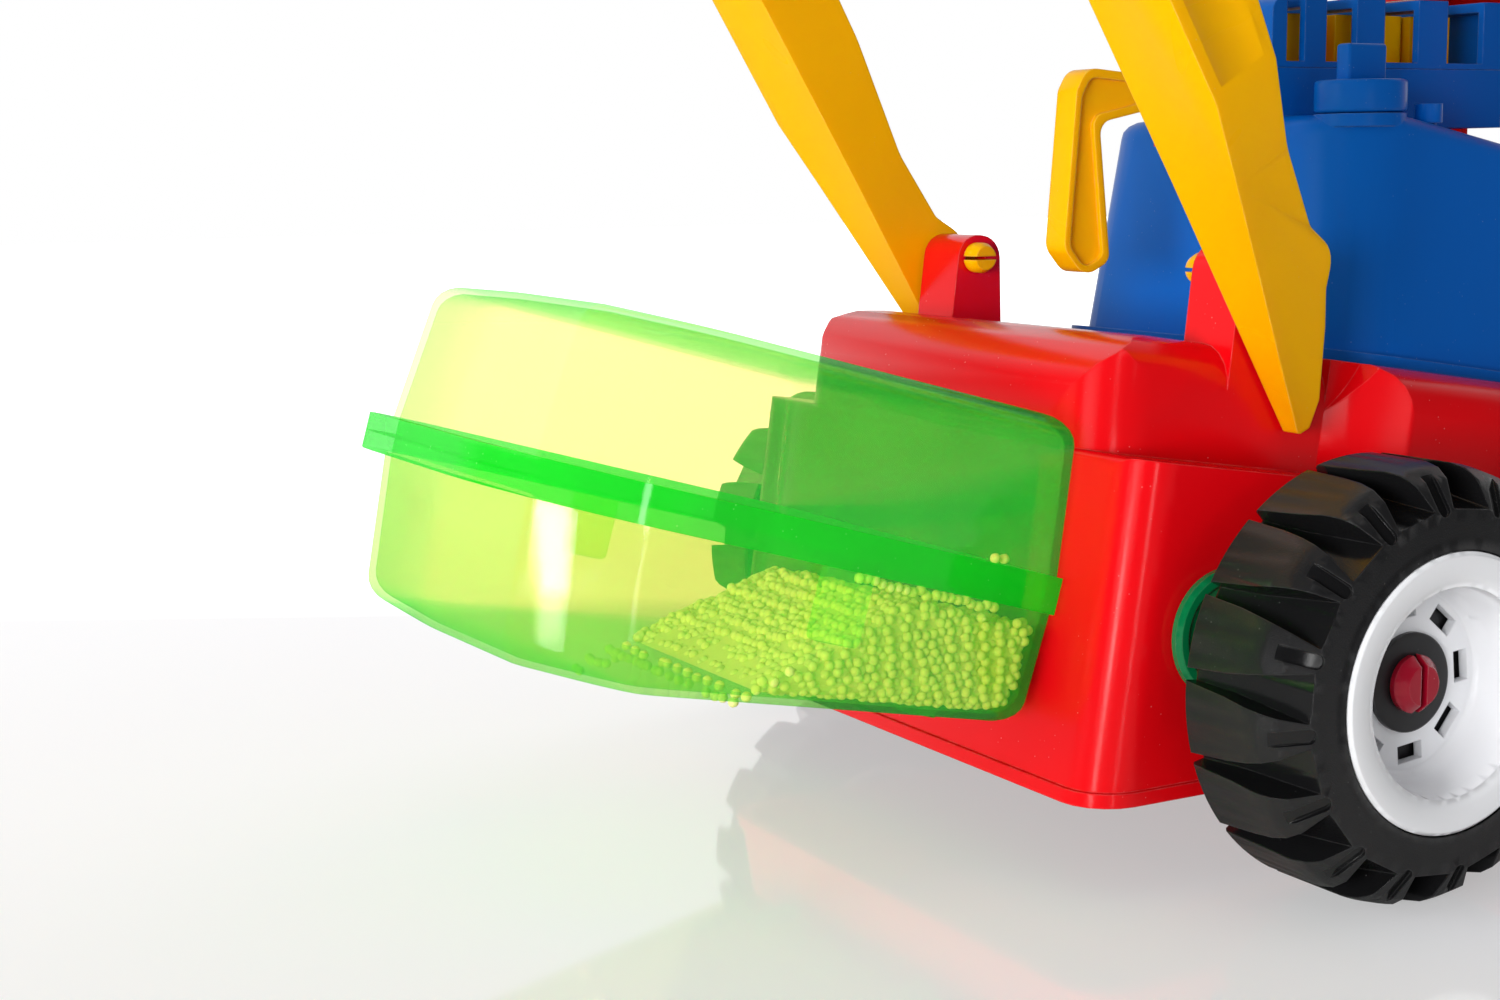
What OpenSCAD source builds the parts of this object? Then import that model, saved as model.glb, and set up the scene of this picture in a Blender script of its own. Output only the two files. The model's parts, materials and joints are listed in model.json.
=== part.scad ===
// Toy wheel loader with a clear bead container on its nose.
// The origin lies on the floor under the middle of the part. The front looks towards -Y,
// +Z is up, and the right-hand side of the names is the one towards +X.

/* [Wheels] */
// Radius over the tread lugs
tyre_radius = 60; // [56:0.5:64]
// Width of the tread
tread_width = 32; // [28:1:34]
// Distance from the centre plane to the inner edge of a tread
track_inner = 120.6; // [119:0.2:126]
// Depth of the grooves between the lugs
groove_depth = 4; // [2:0.5:5]
// Lugs round one tyre
lug_count = 16; // [12:1:20]
// Radius of the white rim's outer lip
rim_radius = 38; // [35:0.5:41]
// Windows in a rim
rim_windows = 8; // [4:1:10]
// Radius of an axle
axle_radius = 5; // [4:0.1:6]
// Distance between the axles
wheelbase = 176; // [165:1:186]

/* [Chassis] */
// Backward slope of the deck
deck_slope = 8.8; // [8.2:0.2:9.4]
// Height of the deck over the front axle, square to the deck
deck_rise = 84.3; // [83:0.1:87]
// Height of the side ledge over the front axle
ledge_rise = 50.5; // [48:0.5:53]
// Height of the open bottom rim over the floor
rim_height = 26; // [24:0.5:29]
// Half width of the chassis under the ledge
chassis_half = 105; // [103:0.5:107]
// Half width of the chassis at the deck, over the ledge
deck_half = 81.6; // [80:0.2:82]
// Wall of the moulded shells
shell_wall = 3; // [2:0.2:4]
// Distance from the front axle forward to the nose
nose_reach = 71; // [70:0.5:73]
// Distance from the front axle back to the tail
tail_reach = 228; // [222:1:240]

/* [Loader] */
// Angle of the arms over the horizontal, as they stand
arm_raise = 59; // [50:1:62]
// Length of the arms from pivot to elbow
arm_length = 225; // [220:1:235]
// Length of the arms from elbow to bucket pin
forearm_length = 95; // [92:1:100]
// Bend of the elbow
elbow_angle = 50; // [46:1:54]
// Inner faces of the arms, from the centre plane
arm_inner = 83; // [82.6:0.1:84]
// Thickness of the arms at their widest
arm_width = 32; // [28:0.5:34]
// Radius of the arm pivots
pivot_radius = 4; // [3:0.1:4.6]
// Width of the bucket
bucket_width = 250; // [230:1:280]
// Reach of the bucket's floor in front of its pins
bucket_reach = 92; // [84:1:100]
// Teeth on the cutting edge
bucket_teeth = 8; // [5:1:9]

/* [Container] */
// Length of the container at its flange
case_length = 164; // [158:1:168]
// Width of the container at its flange
case_width = 161; // [150:1:162]
// Upward tilt of the container
case_tilt = 16.2; // [15.6:0.1:17]
// Height of the upper shell over the middle of the flange
case_top = 48.5; // [44:0.5:51]
// Depth of the lower shell at the front, under the middle of the flange
case_bottom = 48.5; // [44:0.5:51]
// Wall of the clear shells
case_wall = 1.6; // [1.2:0.1:2]
// Height of the joint flange
flange_height = 10.4; // [8:0.2:12]

/* [Hood] */
// Width of the hood's roof
hood_width = 126; // [120:1:128]
// Spread of the hood's sides towards the foot
hood_flare = 9; // [6:0.5:10]
// Height of the hood's top over the floor
hood_top = 213; // [208:0.5:218]
// Width of the engine cage
cage_width = 52; // [48:1:56]
// Height of the engine cage
cage_height = 22; // [20:0.5:28]
// Radius of the filler cap
filler_radius = 14; // [12:0.5:14.5]

/* [Cab] */
// Width of the cab
cab_width = 124; // [116:1:128]
// Height of the cab's frame over the floor
cab_top = 274; // [262:1:284]

/* [Hidden] */

red = "crimson";
blue = "mediumblue";
yellow = "gold";
clear_green = "yellowgreen";

run_fit = 0.08;                  // radial clearance of a shaft that turns
gap = 0.3;                       // clearance between faces that move past each other
front_axle_y = 25.87;            // front axle's place behind the middle of the part
rear_axle_y = front_axle_y + wheelbase;
hood_front = front_axle_y + 50;  // front edge of the hood's roof
cab_room = 76;                       // deck left behind the hood for the cab
hood_back = front_axle_y + tail_reach - cab_room;
cab_front = hood_back + 6;
track_outer = track_inner + tread_width;
slope_sin = sin(deck_slope);
slope_cos = cos(deck_slope);
fine = 64;                       // facets of true circles
through = 400;                   // length of cutters that pass right through

// Arm pivots, in the deck frame
pivot_back = -18.5;
pivot_rise = 106;
arm_heel = [44.7, -16.1];        // lowest corner of an arm behind its pivot, in the arm's frame
heel_swing = norm(arm_heel) + 1; // radius that the heels need round the pivots
pivot_y = front_axle_y + pivot_back * slope_cos + pivot_rise * slope_sin;
pivot_z = tyre_radius - pivot_back * slope_sin + pivot_rise * slope_cos;

// Bucket pin, in the frame of a level arm
arm_elbow = [-arm_length, -2];
bucket_pin_at = arm_elbow - forearm_length * [cos(elbow_angle), sin(elbow_angle)];
bucket_level = 8;                // angle of the arms under the horizontal when the bucket is down

// Cross pin that holds the container
case_pin_at = [front_axle_y - 34.6, 71.2];
case_pin_radius = 6;
case_pin_head = 18.2;

function unit(v) = v / norm(v);

// Points of a corner b between a and c, rounded to radius r in n steps
function corner(a, b, c, r, n) = r == 0 ? [b] :
    let (
        u = unit(a - b),
        w = unit(c - b),
        half = acos(u * w) / 2,
        centre = b + unit(u + w) * r / sin(half),
        first = b + u * r / tan(half) - centre,
        last = b + w * r / tan(half) - centre,
        start = atan2(first.y, first.x),
        sweep = (atan2(last.y, last.x) - start + 540) % 360 - 180
    )
    [for (i = [0:n]) centre + r * [cos(start + sweep * i / n), sin(start + sweep * i / n)]];

// Outline through corners given as [x, y, radius]
function outline(p, n = 5) = let (k = len(p)) [
    for (i = [0:k - 1])
        let (a = p[(i + k - 1) % k], b = p[i], c = p[(i + 1) % k])
        each corner([a.x, a.y], [b.x, b.y], [c.x, c.y], b.z, n)
];

// Height over the floor of a deck line that lies rise over the front axle
function deck_line(y, rise) =
    tyre_radius + (rise - (y - front_axle_y) * slope_sin) / slope_cos;
// Height of the level bottom rim in the deck frame
function rim_line(v) = (rim_height - tyre_radius + v * slope_sin) / slope_cos;

// Extrudes a (y, z) profile to both sides of the centre plane
module across(width) rotate([90, 0, 90]) linear_extrude(width, center = true) children();
// Extrudes a (y, z) profile from one x to another
module between(x0, x1) translate([x0, 0, 0]) rotate([90, 0, 90]) linear_extrude(x1 - x0) children();
// A rod along X
module rod(r, x0, x1) translate([x0, 0, 0]) rotate([0, 90, 0]) cylinder(r = r, h = x1 - x0, $fn = fine);
module mirrored() {
    children();
    mirror([1, 0, 0]) children();
}
// The frame of the sloping deck: front axle at the origin, Z square to the deck
module on_deck() translate([0, front_axle_y, tyre_radius]) rotate([-deck_slope, 0, 0]) children();
module at_pivot() translate([0, pivot_y, pivot_z]) children();
// The frame of the arms, drawn level and pointing forward
module on_arm() at_pivot() rotate([-arm_raise, 0, 0]) children();
// The frame of the bucket, as it stands on the floor
module on_bucket() on_arm() translate([0, bucket_pin_at.x, bucket_pin_at.y])
    rotate([-bucket_level, 0, 0]) children();

// Skin through rings of the same count of points, from the lowest ring to the highest.
// Points whose numbers add up to pair mirror each other, so each end closes with level strips.
module loft(rings, pair) {
    n = len(rings[0]);
    last = len(rings) - 1;
    first = ceil(pair / 2);
    ends = [for (j = [0:floor((n - 1) / 2) - 1]) let (
        a = (first + j) % n, b = (pair - first - j + n) % n, d = (b - 1 + n) % n
    ) a == b ? [a, (a + 1) % n, d] : [a, (a + 1) % n, d, b]];
    sides = [for (j = [0:last - 1], i = [0:n - 1]) let (k = (i + 1) % n) each [
        [j * n + i, (j + 1) * n + k, j * n + k],
        [j * n + i, (j + 1) * n + i, (j + 1) * n + k]
    ]];
    polyhedron(
        [for (ring = rings) each ring],
        concat(ends, sides, [for (e = ends) [for (i = [len(e) - 1:-1:0]) last * n + e[i]]])
    );
}

// Chassis ---------------------------------------------------------------------------------

// Solid form of the chassis, drawn in by t on every side but the bottom
module chassis_form(t) {
    shoulder = 20;
    flare = 17;
    flare_from = 13;
    flare_to = pivot_back + heel_swing + 1.5;
    foot = t > 0 ? 12 : 0;
    lower = outline([
        [-chassis_half + t, -nose_reach + t, 13], [chassis_half - t, -nose_reach + t, 13],
        [chassis_half - t, tail_reach - t, 16], [-chassis_half + t, tail_reach - t, 16]
    ]);
    narrow = [[deck_half - t, -nose_reach + t, shoulder], [deck_half - t, tail_reach - 4 - t, 0]];
    // the sides sweep out in a hollow curve behind the arms
    wide = concat(
        [for (a = [30:10:60]) [
            deck_half + flare * (cos(30) - cos(a)) / (cos(30) - cos(60)) - t,
            flare_from + (flare_to - flare_from) * (sin(a) - sin(30)) / (sin(60) - sin(30)), a < 60 ? 0 : 2
        ]],
        [[deck_half + flare - t, tail_reach - 4 - t, 16]]
    );
    intersection() {
        across(through) polygon(outline([
            [-nose_reach + t, rim_line(-nose_reach) - foot, 0],
            [tail_reach - t, rim_line(tail_reach) - foot, 0],
            [tail_reach - t, ledge_rise - t, 3], [-nose_reach + t, ledge_rise - t, 3]
        ]));
        translate([0, 0, -through / 2]) linear_extrude(through) polygon(lower);
    }
    upper_block(t, deck_half, both_sides(narrow));
    difference() {
        upper_block(t, deck_half + flare, both_sides(wide));
        // room for the heels of the arms, which swing down beside the deck
        mirrored() translate([0, pivot_back, pivot_rise]) rod(heel_swing + t, deck_half - t, through / 2);
    }
}

// A plan from the corners of its right half, given from front to back
function both_sides(half) = concat(half, [for (i = [len(half) - 1:-1:0]) [-half[i].x, half[i].y, half[i].z]]);

// Part over the ledge, inside a plan, with its top edges rounded on all sides
module upper_block(t, half, plan) intersection() {
    across(through) polygon(outline([
        [-nose_reach + t, ledge_rise - 12, 0], [tail_reach - 4 - t, ledge_rise - 12, 0],
        [tail_reach - 6 - t, deck_rise - t, 11], [-nose_reach + t, deck_rise - t, 24]
    ]));
    translate([0, 0, -through / 2]) linear_extrude(through) polygon(outline(plan));
    rotate([90, 0, 0]) linear_extrude(2 * through, center = true) polygon(outline([
        [-half + t, 0, 0], [half - t, 0, 0], [half - t, deck_rise - t, 13], [-half + t, deck_rise - t, 13]
    ]));
}

module pivot_post() {
    post = outline([
        [-24.4, deck_rise - 14, 0], [-1.9, deck_rise - 14, 0],
        [-9.6, pivot_rise + 7.8, 8], [-25.6, pivot_rise + 7.8, 8]
    ], 6);
    between(deck_half - 21.2, deck_half) polygon(post);
}

module chassis_shell() color(red) difference() {
    union() {
        on_deck() difference() {
            union() {
                chassis_form(0);
                // rolled lip round the open bottom
                intersection() {
                    lip = 1.4;
                    across(2 * chassis_half + 2 * lip) polygon([
                        [-nose_reach - lip, rim_line(-nose_reach)],
                        [tail_reach + lip, rim_line(tail_reach)],
                        [tail_reach + lip, rim_line(tail_reach) + 4],
                        [-nose_reach - lip, rim_line(-nose_reach) + 4]
                    ]);
                    translate([0, 0, -through / 2]) linear_extrude(through) polygon(outline([
                        [-chassis_half - lip, -nose_reach - lip, 14], [chassis_half + lip, -nose_reach - lip, 14],
                        [chassis_half + lip, tail_reach + lip, 17], [-chassis_half - lip, tail_reach + lip, 17]
                    ]));
                }
            }
            chassis_form(shell_wall);
        }
        on_deck() mirrored() pivot_post();
        on_deck() cross_ribs();
        mirrored() axle_bosses();
        tow_plate();
    }
    for (y = [front_axle_y, rear_axle_y]) translate([0, y, tyre_radius])
        rod(axle_radius + run_fit, -through / 2, through / 2);
    translate([0, case_pin_at.x, case_pin_at.y]) rod(case_pin_radius + run_fit, -through / 2, through / 2);
    at_pivot() rod(pivot_radius + run_fit, -through / 2, through / 2);
    bracket_slot();
    tow_bore();
    on_deck() screw_places(concat(hood_screws, cab_screws)) translate([0, 0, -through / 2])
        cylinder(r = screw_radius + gap, h = through, $fn = 32);
}

// Stiffening walls under the deck, one of them between the axles
module cross_ribs() for (v = [hood_screws.x - 8.12, hood_screws.y - 19.888, hood_screws.y + 24.116])
    translate([-deck_half, v, rim_line(v) + 22]) cube([2 * deck_half, 2.4, deck_rise - rim_line(v) - 24]);

// Tubes that carry the axles and keep the wheels off the body
module axle_bosses() {
    for (y = [front_axle_y, rear_axle_y]) translate([0, y, tyre_radius])
        rod(9, chassis_half - 14, track_inner + hub_inset - gap);
    translate([0, case_pin_at.x, case_pin_at.y]) rod(10, chassis_half - 12, chassis_half);
}

tow_plate_z = 44;
tow_plate_thickness = 6;
tow_bore_radius = 4.2;
tow_reach = 30;
tail_y = front_axle_y + tail_reach * slope_cos;
// Level tongue at the tail with an upright bore for a trailer's pin
module tow_plate() translate([0, tail_y - 6, tow_plate_z]) linear_extrude(tow_plate_thickness) polygon(outline([
    [-14, 0, 0], [14, 0, 0], [14, tow_reach - 4, 9], [-14, tow_reach - 4, 9]
]));
module tow_bore() translate([0, tail_y + tow_reach - 22, tow_plate_z - 1])
    cylinder(r = tow_bore_radius, h = tow_plate_thickness + 2, $fn = fine);

screw_radius = 1.5;
// Places of the screws that hold the hood and the cab down on the deck
hood_screws = [56, hood_back - front_axle_y - 40];
cab_screws = [cab_front - front_axle_y + 8, cab_front - front_axle_y + 38];
module screw_places(rows) for (x = [-46, 46], v = rows) translate([x, v, 0]) children();
module screw_boss() cylinder(r = 4.5, h = 10, $fn = 32);
module screw_hole() translate([0, 0, -1]) cylinder(r = screw_radius + run_fit, h = 8, $fn = 32);
module deck_screws() color("silver") on_deck() screw_places(concat(hood_screws, cab_screws)) {
    translate([0, 0, deck_rise - shell_wall - 2]) cylinder(r = 3, h = 2 - gap / 6, $fn = 32);
    translate([0, 0, deck_rise - shell_wall - 0.5]) cylinder(r = screw_radius, h = shell_wall + 6.5, $fn = 24);
}

// Wheels ----------------------------------------------------------------------------------
// A wheel is drawn with its axis on Z, inner tread edge at 0, outside up.

hub_inset = 1.4;                 // how far the hub stands inside the inner tread edge
seat_radius = 34;                // where the tyre sits on the rim
lip_face = tread_width + 6.1;    // outer face of the rim's lip
web_face = tread_width - 12;     // outer face of the rim's web
web_thickness = 3;
groove_fall = 11;                // angle at which the grooves deepen outwards
lug_phase = 5.8;                 // turn of the tread from bottom dead centre
washer_radius = 13.7;
washer_thickness = 1.5;

module on_wheel(y, side) translate([side * track_inner, y, tyre_radius])
    rotate([0, side * 90, 0]) rotate(side * lug_phase) children();

module tyre() color([0.13, 0.13, 0.14]) difference() {
    rotate_extrude($fn = fine) polygon([
        [seat_radius, 3], [50, 0.8], [tyre_radius - 0.8, 0], [tyre_radius, 0.8],
        [tyre_radius, tread_width - 9], [tyre_radius - 0.9, tread_width - 4],
        [tyre_radius - 3.4, tread_width], [tyre_radius - 11, tread_width + 4.4],
        [rim_radius + 0.4, tread_width + 5.4], [rim_radius + 0.4, tread_width + 2.9],
        [seat_radius, tread_width + 2.9]
    ]);
    for (i = [0:lug_count - 1]) rotate(360 / lug_count * i) {
        rotate(180 / lug_count) tread_groove();
        lug_recess();
    }
}
// V-shaped groove between two lugs, wider and deeper towards the outside
module tread_groove() translate([tyre_radius - groove_depth, 0, 0]) rotate([0, 90 - groove_fall, 0])
    linear_extrude(3 * groove_depth) polygon([
        [2, -1.6], [2, 1.6], [-0.45 * tread_width, 3], [-tread_width - 12, 7.6],
        [-tread_width - 12, -7.6], [-0.45 * tread_width, -3]
    ]);
// U-shaped hollow that splits a lug's shoulder into two ribs
module lug_recess() translate([tyre_radius - 7, 0, tread_width + 0.7]) rotate([0, 30, 0])
    linear_extrude(6) polygon(outline([[12, -2, 0], [12, 2, 0], [-6.5, 2, 1.9], [-6.5, -2, 1.9]], 4));

module rim() color("white") difference() {
    rotate_extrude($fn = fine) polygon([
        [axle_radius + run_fit, hub_inset], [9, hub_inset], [9, web_face - web_thickness],
        [30.6, web_face - web_thickness], [31.2, 3], [seat_radius - 0.1, 3],
        [seat_radius - 0.1, tread_width + 3], [rim_radius, tread_width + 3],
        [rim_radius, lip_face - 1], [rim_radius - 1, lip_face], [31.5, lip_face],
        [28.5, lip_face - 1.6], [26, web_face + 1.5], [24.5, web_face], [axle_radius + run_fit, web_face]
    ]);
    for (i = [0:rim_windows - 1]) rotate(360 / rim_windows * i)
        translate([17.5, -4.4, web_face - web_thickness - 1]) cube([5, 8.8, web_thickness + 2]);
}

module washer() color([0.15, 0.15, 0.16]) translate([0, 0, web_face + run_fit]) difference() {
    cylinder(r = washer_radius, h = washer_thickness, $fn = fine);
    translate([0, 0, -1]) cylinder(r = axle_radius + run_fit, h = washer_thickness + 2, $fn = fine);
}

// Plastic axle with a split snap head outside each wheel
module axle(y) color([0.7, 0.08, 0.18]) translate([0, y, tyre_radius]) difference() {
    head_face = track_inner + web_face + run_fit + washer_thickness + gap;
    union() {
        rod(axle_radius, -head_face - 1, head_face + 1);
        mirrored() translate([head_face, 0, 0]) rotate([0, 90, 0]) rotate_extrude($fn = fine)
            polygon([[0, 0], [8, 0], [8, 1.6], [5.4, 4.6], [0, 4.6]]);
    }
    mirrored() translate([head_face - 12, -1.15, -10]) cube([20, 2.3, 20]);
}
module front_axle() axle(front_axle_y);
module rear_axle() axle(rear_axle_y);

// Container -------------------------------------------------------------------------------
// Drawn on the plane of its flange: the flange's rear end at the origin, front towards -Y.

case_at = [front_axle_y - 70.1, 80.3];
case_half = case_width / 2;
case_nose_lean = case_tilt - deck_slope;
crease = [54, 152];              // corners of the flat front, from the middle and the rear
module on_case() translate([0, case_at.x, case_at.y]) rotate([-case_tilt, 0, 0]) children();

// Half of the case's plan at a height h, drawn in by t; the rear wall stays square to the nose
function case_side(t, h) = let (
    lean = 0.09 * abs(h) + t,
    back = (h < 0 ? -1.6 : -0.2) - t - max(0, h * tan(case_nose_lean))
) [
    [0, -crease.y - 4 + lean, 90], [crease.x - 0.03 * abs(h) - 0.6 * t, -crease.y + lean, 3],
    [case_half - 8 - t, -crease.y + 22 + lean, 40], [case_half - 0.8 - t, back, 3]
];
function case_plan(t, h) = let (side = case_side(t, h)) outline(concat(
    side, [for (i = [3:-1:1]) [-side[i].x, side[i].y, side[i].z]]
), 6);

// Height of the case's end face at y: the lower shell is shallower at the back
function case_end(y, up) = up
    ? case_top - 0.01 * max(0, -y)
    : -(case_bottom - 11.4 * (1 - min(1, max(0, -y / 115))));

// Rings from the flange to the end face, with a rounded edge of radius r
function case_rings(t, up, r = 7, draft = 0, steps = 5) = concat(
    [[for (q = case_plan(t, 0)) [q.x, q.y, 0]]],
    [for (i = [0:steps]) let (a = 90 * i / steps, inset = t + draft + r * (1 - cos(a))) [
        for (q = case_plan(inset, (up ? 1 : -1) * (case_top - r * (1 - sin(a))))) let (end = case_end(q.y, up))
            [q.x, q.y, end - sign(end) * (t + r * (1 - sin(a)))]
    ]]
);
module case_form(t, up) {
    rings = case_rings(t, up);
    loft(up ? rings : [for (i = [len(rings) - 1:-1:0]) rings[i]], 6);
}
module case_flange(z, h) translate([0, 0, z]) linear_extrude(h) difference() {
    polygon(outline([
        [-case_half, -case_length, 50], [case_half, -case_length, 50], [case_half, 0, 2], [-case_half, 0, 2]
    ], 8));
    polygon(case_plan(case_wall + 0.4, 0));
}
module container_upper() color(clear_green, 0.5) on_case() {
    difference() {
        case_form(0, true);
        case_form(case_wall, true);
    }
    case_flange(0, flange_height / 2);
}
module container_lower() color(clear_green, 0.5) on_case() {
    difference() {
        case_form(0, false);
        case_form(case_wall, false);
    }
    case_flange(-flange_height / 2, flange_height / 2);
    // lugs under the rear edge, for a thumb
    mirrored() between(36, 44) polygon([
        for (y = [-6, -24]) [y, case_end(y, false) + 0.6], [-21, case_end(-21, false) - 1], [-16, case_end(-6, false) - 5.4],
        [-6, case_end(-6, false) - 5.4]
    ]);
}

// Side catches that clip the two shells together
module container_catches() color(clear_green) on_case() mirrored()
    between(case_half - 3.6, case_half - 0.6) polygon(outline([
        [-76, -flange_height / 2, 0], [-76, -25, 2], [-61, -25, 2], [-61, -flange_height / 2, 0]
    ]));

// Slot in the nose for the tongue of the container's bracket
tongue_half = 16;
tongue_low = case_pin_at.y - 8;
tongue_high = case_pin_at.y + 4;
module bracket_slot() translate([-tongue_half - gap, front_axle_y - nose_reach - 10, tongue_low - gap])
    cube([2 * (tongue_half + gap), 22, tongue_high - tongue_low + 2 * gap]);
// Tongue behind the case, held inside the chassis by the cross pin
module container_bracket() color("forestgreen") difference() {
    union() {
        translate([0, case_pin_at.x, case_pin_at.y]) rod(10, -tongue_half, tongue_half);
        translate([-tongue_half, case_at.x + 1.2, tongue_low])
            cube([2 * tongue_half, case_pin_at.x - case_at.x - 1.2, tongue_high - tongue_low]);
    }
    translate([0, case_pin_at.x, case_pin_at.y]) rod(case_pin_radius + run_fit, -through / 2, through / 2);
}
module pin_head() rotate([0, 90, 0]) rotate_extrude($fn = fine) polygon([
    [0, 0], [case_pin_head - 1.2, 0], [case_pin_head, 1.4], [case_pin_head, 3], [case_pin_head - 1.2, 4.4],
    [case_pin_head - 3.4, 4.4], [case_pin_head - 5, 3], [0, 3]
]);
module container_pin() color("seagreen") translate([0, case_pin_at.x, case_pin_at.y]) {
    rod(case_pin_radius, -chassis_half - 1.8, chassis_half + gap);
    translate([chassis_half + gap, 0, 0]) pin_head();
}
module container_pin_cap() color("seagreen") translate([-chassis_half - gap, case_pin_at.x, case_pin_at.y])
    mirror([1, 0, 0]) difference() {
        pin_head();
        rod(case_pin_radius + run_fit, -1, 1.6);
    }

// Heap of beads that has run to the low end of the case
module bead_fill() color("yellowgreen") on_case() intersection() {
    union() {
        case_form(case_wall + 0.4, false);
        case_form(case_wall + 0.4, true);
    }
    across(through) polygon([
        [-1, -6], [-14, -9], [-34, -8], [-46, -11], [-63, -25], [-84, -45], [-84, -60], [-1, -60]
    ]);
}

// Hood ------------------------------------------------------------------------------------

hood_half = hood_width / 2;
hood_foot = 4;                   // width of the flange round the foot
hood_radius = 23;                // front corners seen from above
hood_wall = 2;

// Height of the hood's roof, which falls very slightly to the back
function roof_line(y) = hood_top - 0.0016 * pow(y - hood_front, 2);

// Ring of the hood's plan: out is added to each side, lead to the front
function hood_plan(out, lead) = outline([
    [-hood_half - out, hood_back, 0], [-hood_half - out, hood_front - lead, hood_radius],
    [hood_half + out, hood_front - lead, hood_radius], [hood_half + out, hood_back, 0]
], 7);
// Rings of the hood, drawn in by t; each follows the deck below and the roof above
function hood_rings(t, r = 6, steps = 4) = let (out = hood_flare) concat(
    [[for (q = hood_plan(out - t, 7 - t)) [q.x, q.y, deck_line(q.y, deck_rise) + run_fit - (t > 0 ? 1 : 0)]]],
    [for (i = [0:steps]) let (a = 90 * i / steps, inset = t + r * (1 - cos(a))) [
        for (q = hood_plan(-inset, -inset)) [q.x, min(q.y, hood_back), roof_line(q.y) - t - r * (1 - sin(a))]
    ]]
);
module hood() color(blue) difference() {
    union() {
        difference() {
            loft(hood_rings(0), 17);
            loft(hood_rings(hood_wall), 17);
        }
        // flange that lies on the deck
        intersection() {
            translate([0, 0, 100]) linear_extrude(100) difference() {
                polygon(hood_plan(hood_flare + hood_foot, 7 + hood_foot));
                polygon(hood_plan(hood_flare - 1.8, 7 - 1.8));
            }
            on_deck() translate([-100, -10, deck_rise + run_fit]) cube([200, 200, 3.5]);
        }
        // raised middle part that carries the cage
        difference() {
            translate([-cage_half, cage_front, hood_top - 4]) cube([2 * cage_half, cage_length, plinth + 4]);
            translate([-engine_half - 0.6, cage_front + 8, hood_top - 5])
                cube([2 * (engine_half + 0.6), cage_length - 14, plinth + 6]);
        }
        // webs and bosses for the screws that come up through the deck
        on_deck() for (v = hood_screws) mirrored()
            translate([46, v - 1, deck_rise + run_fit]) cube([hood_half + hood_flare - 47.7, 2, 9]);
        on_deck() screw_places(hood_screws) translate([0, 0, deck_rise + run_fit]) screw_boss();
        translate([filler_at.x, filler_at.y, hood_top - 4]) cylinder(r = filler_radius, h = 4, $fn = fine);
    }
    on_deck() screw_places(hood_screws) translate([0, 0, deck_rise]) screw_hole();
    translate([filler_at.x, filler_at.y, hood_top - 12]) cylinder(r = filler_stem + run_fit, h = 40, $fn = fine);
    translate([-100, hood_back, 0]) cube([200, 200, 400]);
    lever_bracket_place();
    translate([breather_at.x, breather_at.y, hood_top - 12]) cylinder(r = 2.5, h = 40, $fn = 32);
}

cage_half = cage_width / 2;
plinth = 15;                     // height of the raised middle part over the roof
cage_base = hood_top + plinth;
cage_front = hood_front + 0.5;
engine_half = 20;

cage_length = hood_back - hood_front + 3;
cage_openings = cage_length / 105 * [[6, 7.5], [22.5, 13], [47.5, 15], [75.5, 16.5]];   // start and length

// Box cage over the engine: hoops that run over the top between tall openings
module engine_cage() color(blue) difference() {
    union() {
        translate([0, cage_front, cage_base + run_fit]) rotate([90, 0, 90])
            linear_extrude(2 * cage_half, center = true) polygon(outline([
                [0, 0, 0], [cage_length, 0, 0], [cage_length, cage_height, 4], [0, cage_height, 5]
            ]));
    }
    // hollow inside
    translate([0, cage_front, cage_base]) rotate([90, 0, 90])
        linear_extrude(2 * cage_half - 5, center = true) polygon([
            [5, -1], [cage_length - 3, -1], [cage_length - 3, cage_height - 3], [5, cage_height - 3]
        ]);
    // openings that go right over the top
    for (k = cage_openings) translate([-cage_half - 1, cage_front + k[0], cage_base + 2])
        cube([2 * cage_half + 2, k[1], cage_height]);
}
module engine_block() color(yellow) {
    y0 = cage_front + 8.6;
    translate([0, y0, hood_top - 4]) {
        translate([-engine_half, 0, 4]) cube([2 * engine_half, cage_length - 15.2, plinth + 2]);
        for (i = [0:6]) translate([-engine_half + 3, 4 + cage_length / 9.55 * i, plinth + 4])
            cube([2 * engine_half - 6, 7, cage_height - 4.5]);
    }
}

filler_at = [48, hood_front + 17];
filler_stem = 5;
module filler_cap() color(blue) translate([filler_at.x, filler_at.y, hood_top + gap]) {
    difference() {
        cylinder(r = filler_radius, h = 10, $fn = fine);
        for (i = [0:23]) rotate(15 * i) translate([filler_radius + 0.4, 0, -1]) cylinder(r = 1.2, h = 9.4, $fn = 6);
    }
    translate([-3, -8, 9]) cube([6, 16, 12]);
    translate([0, 0, -8.6]) cylinder(r = filler_stem, h = 9.6, $fn = fine);
}
breather_at = [52, hood_front + 42];
module breather_stub() color(blue) translate([breather_at.x, breather_at.y, hood_top - 5]) {
    cylinder(r = 2.5 - run_fit, h = 6, $fn = 32);
    translate([0, 0, 5 - 3]) cylinder(r = 4.2, h = 6, $fn = 32);
}

// Crank lever in front of the hood --------------------------------------------------------

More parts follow.
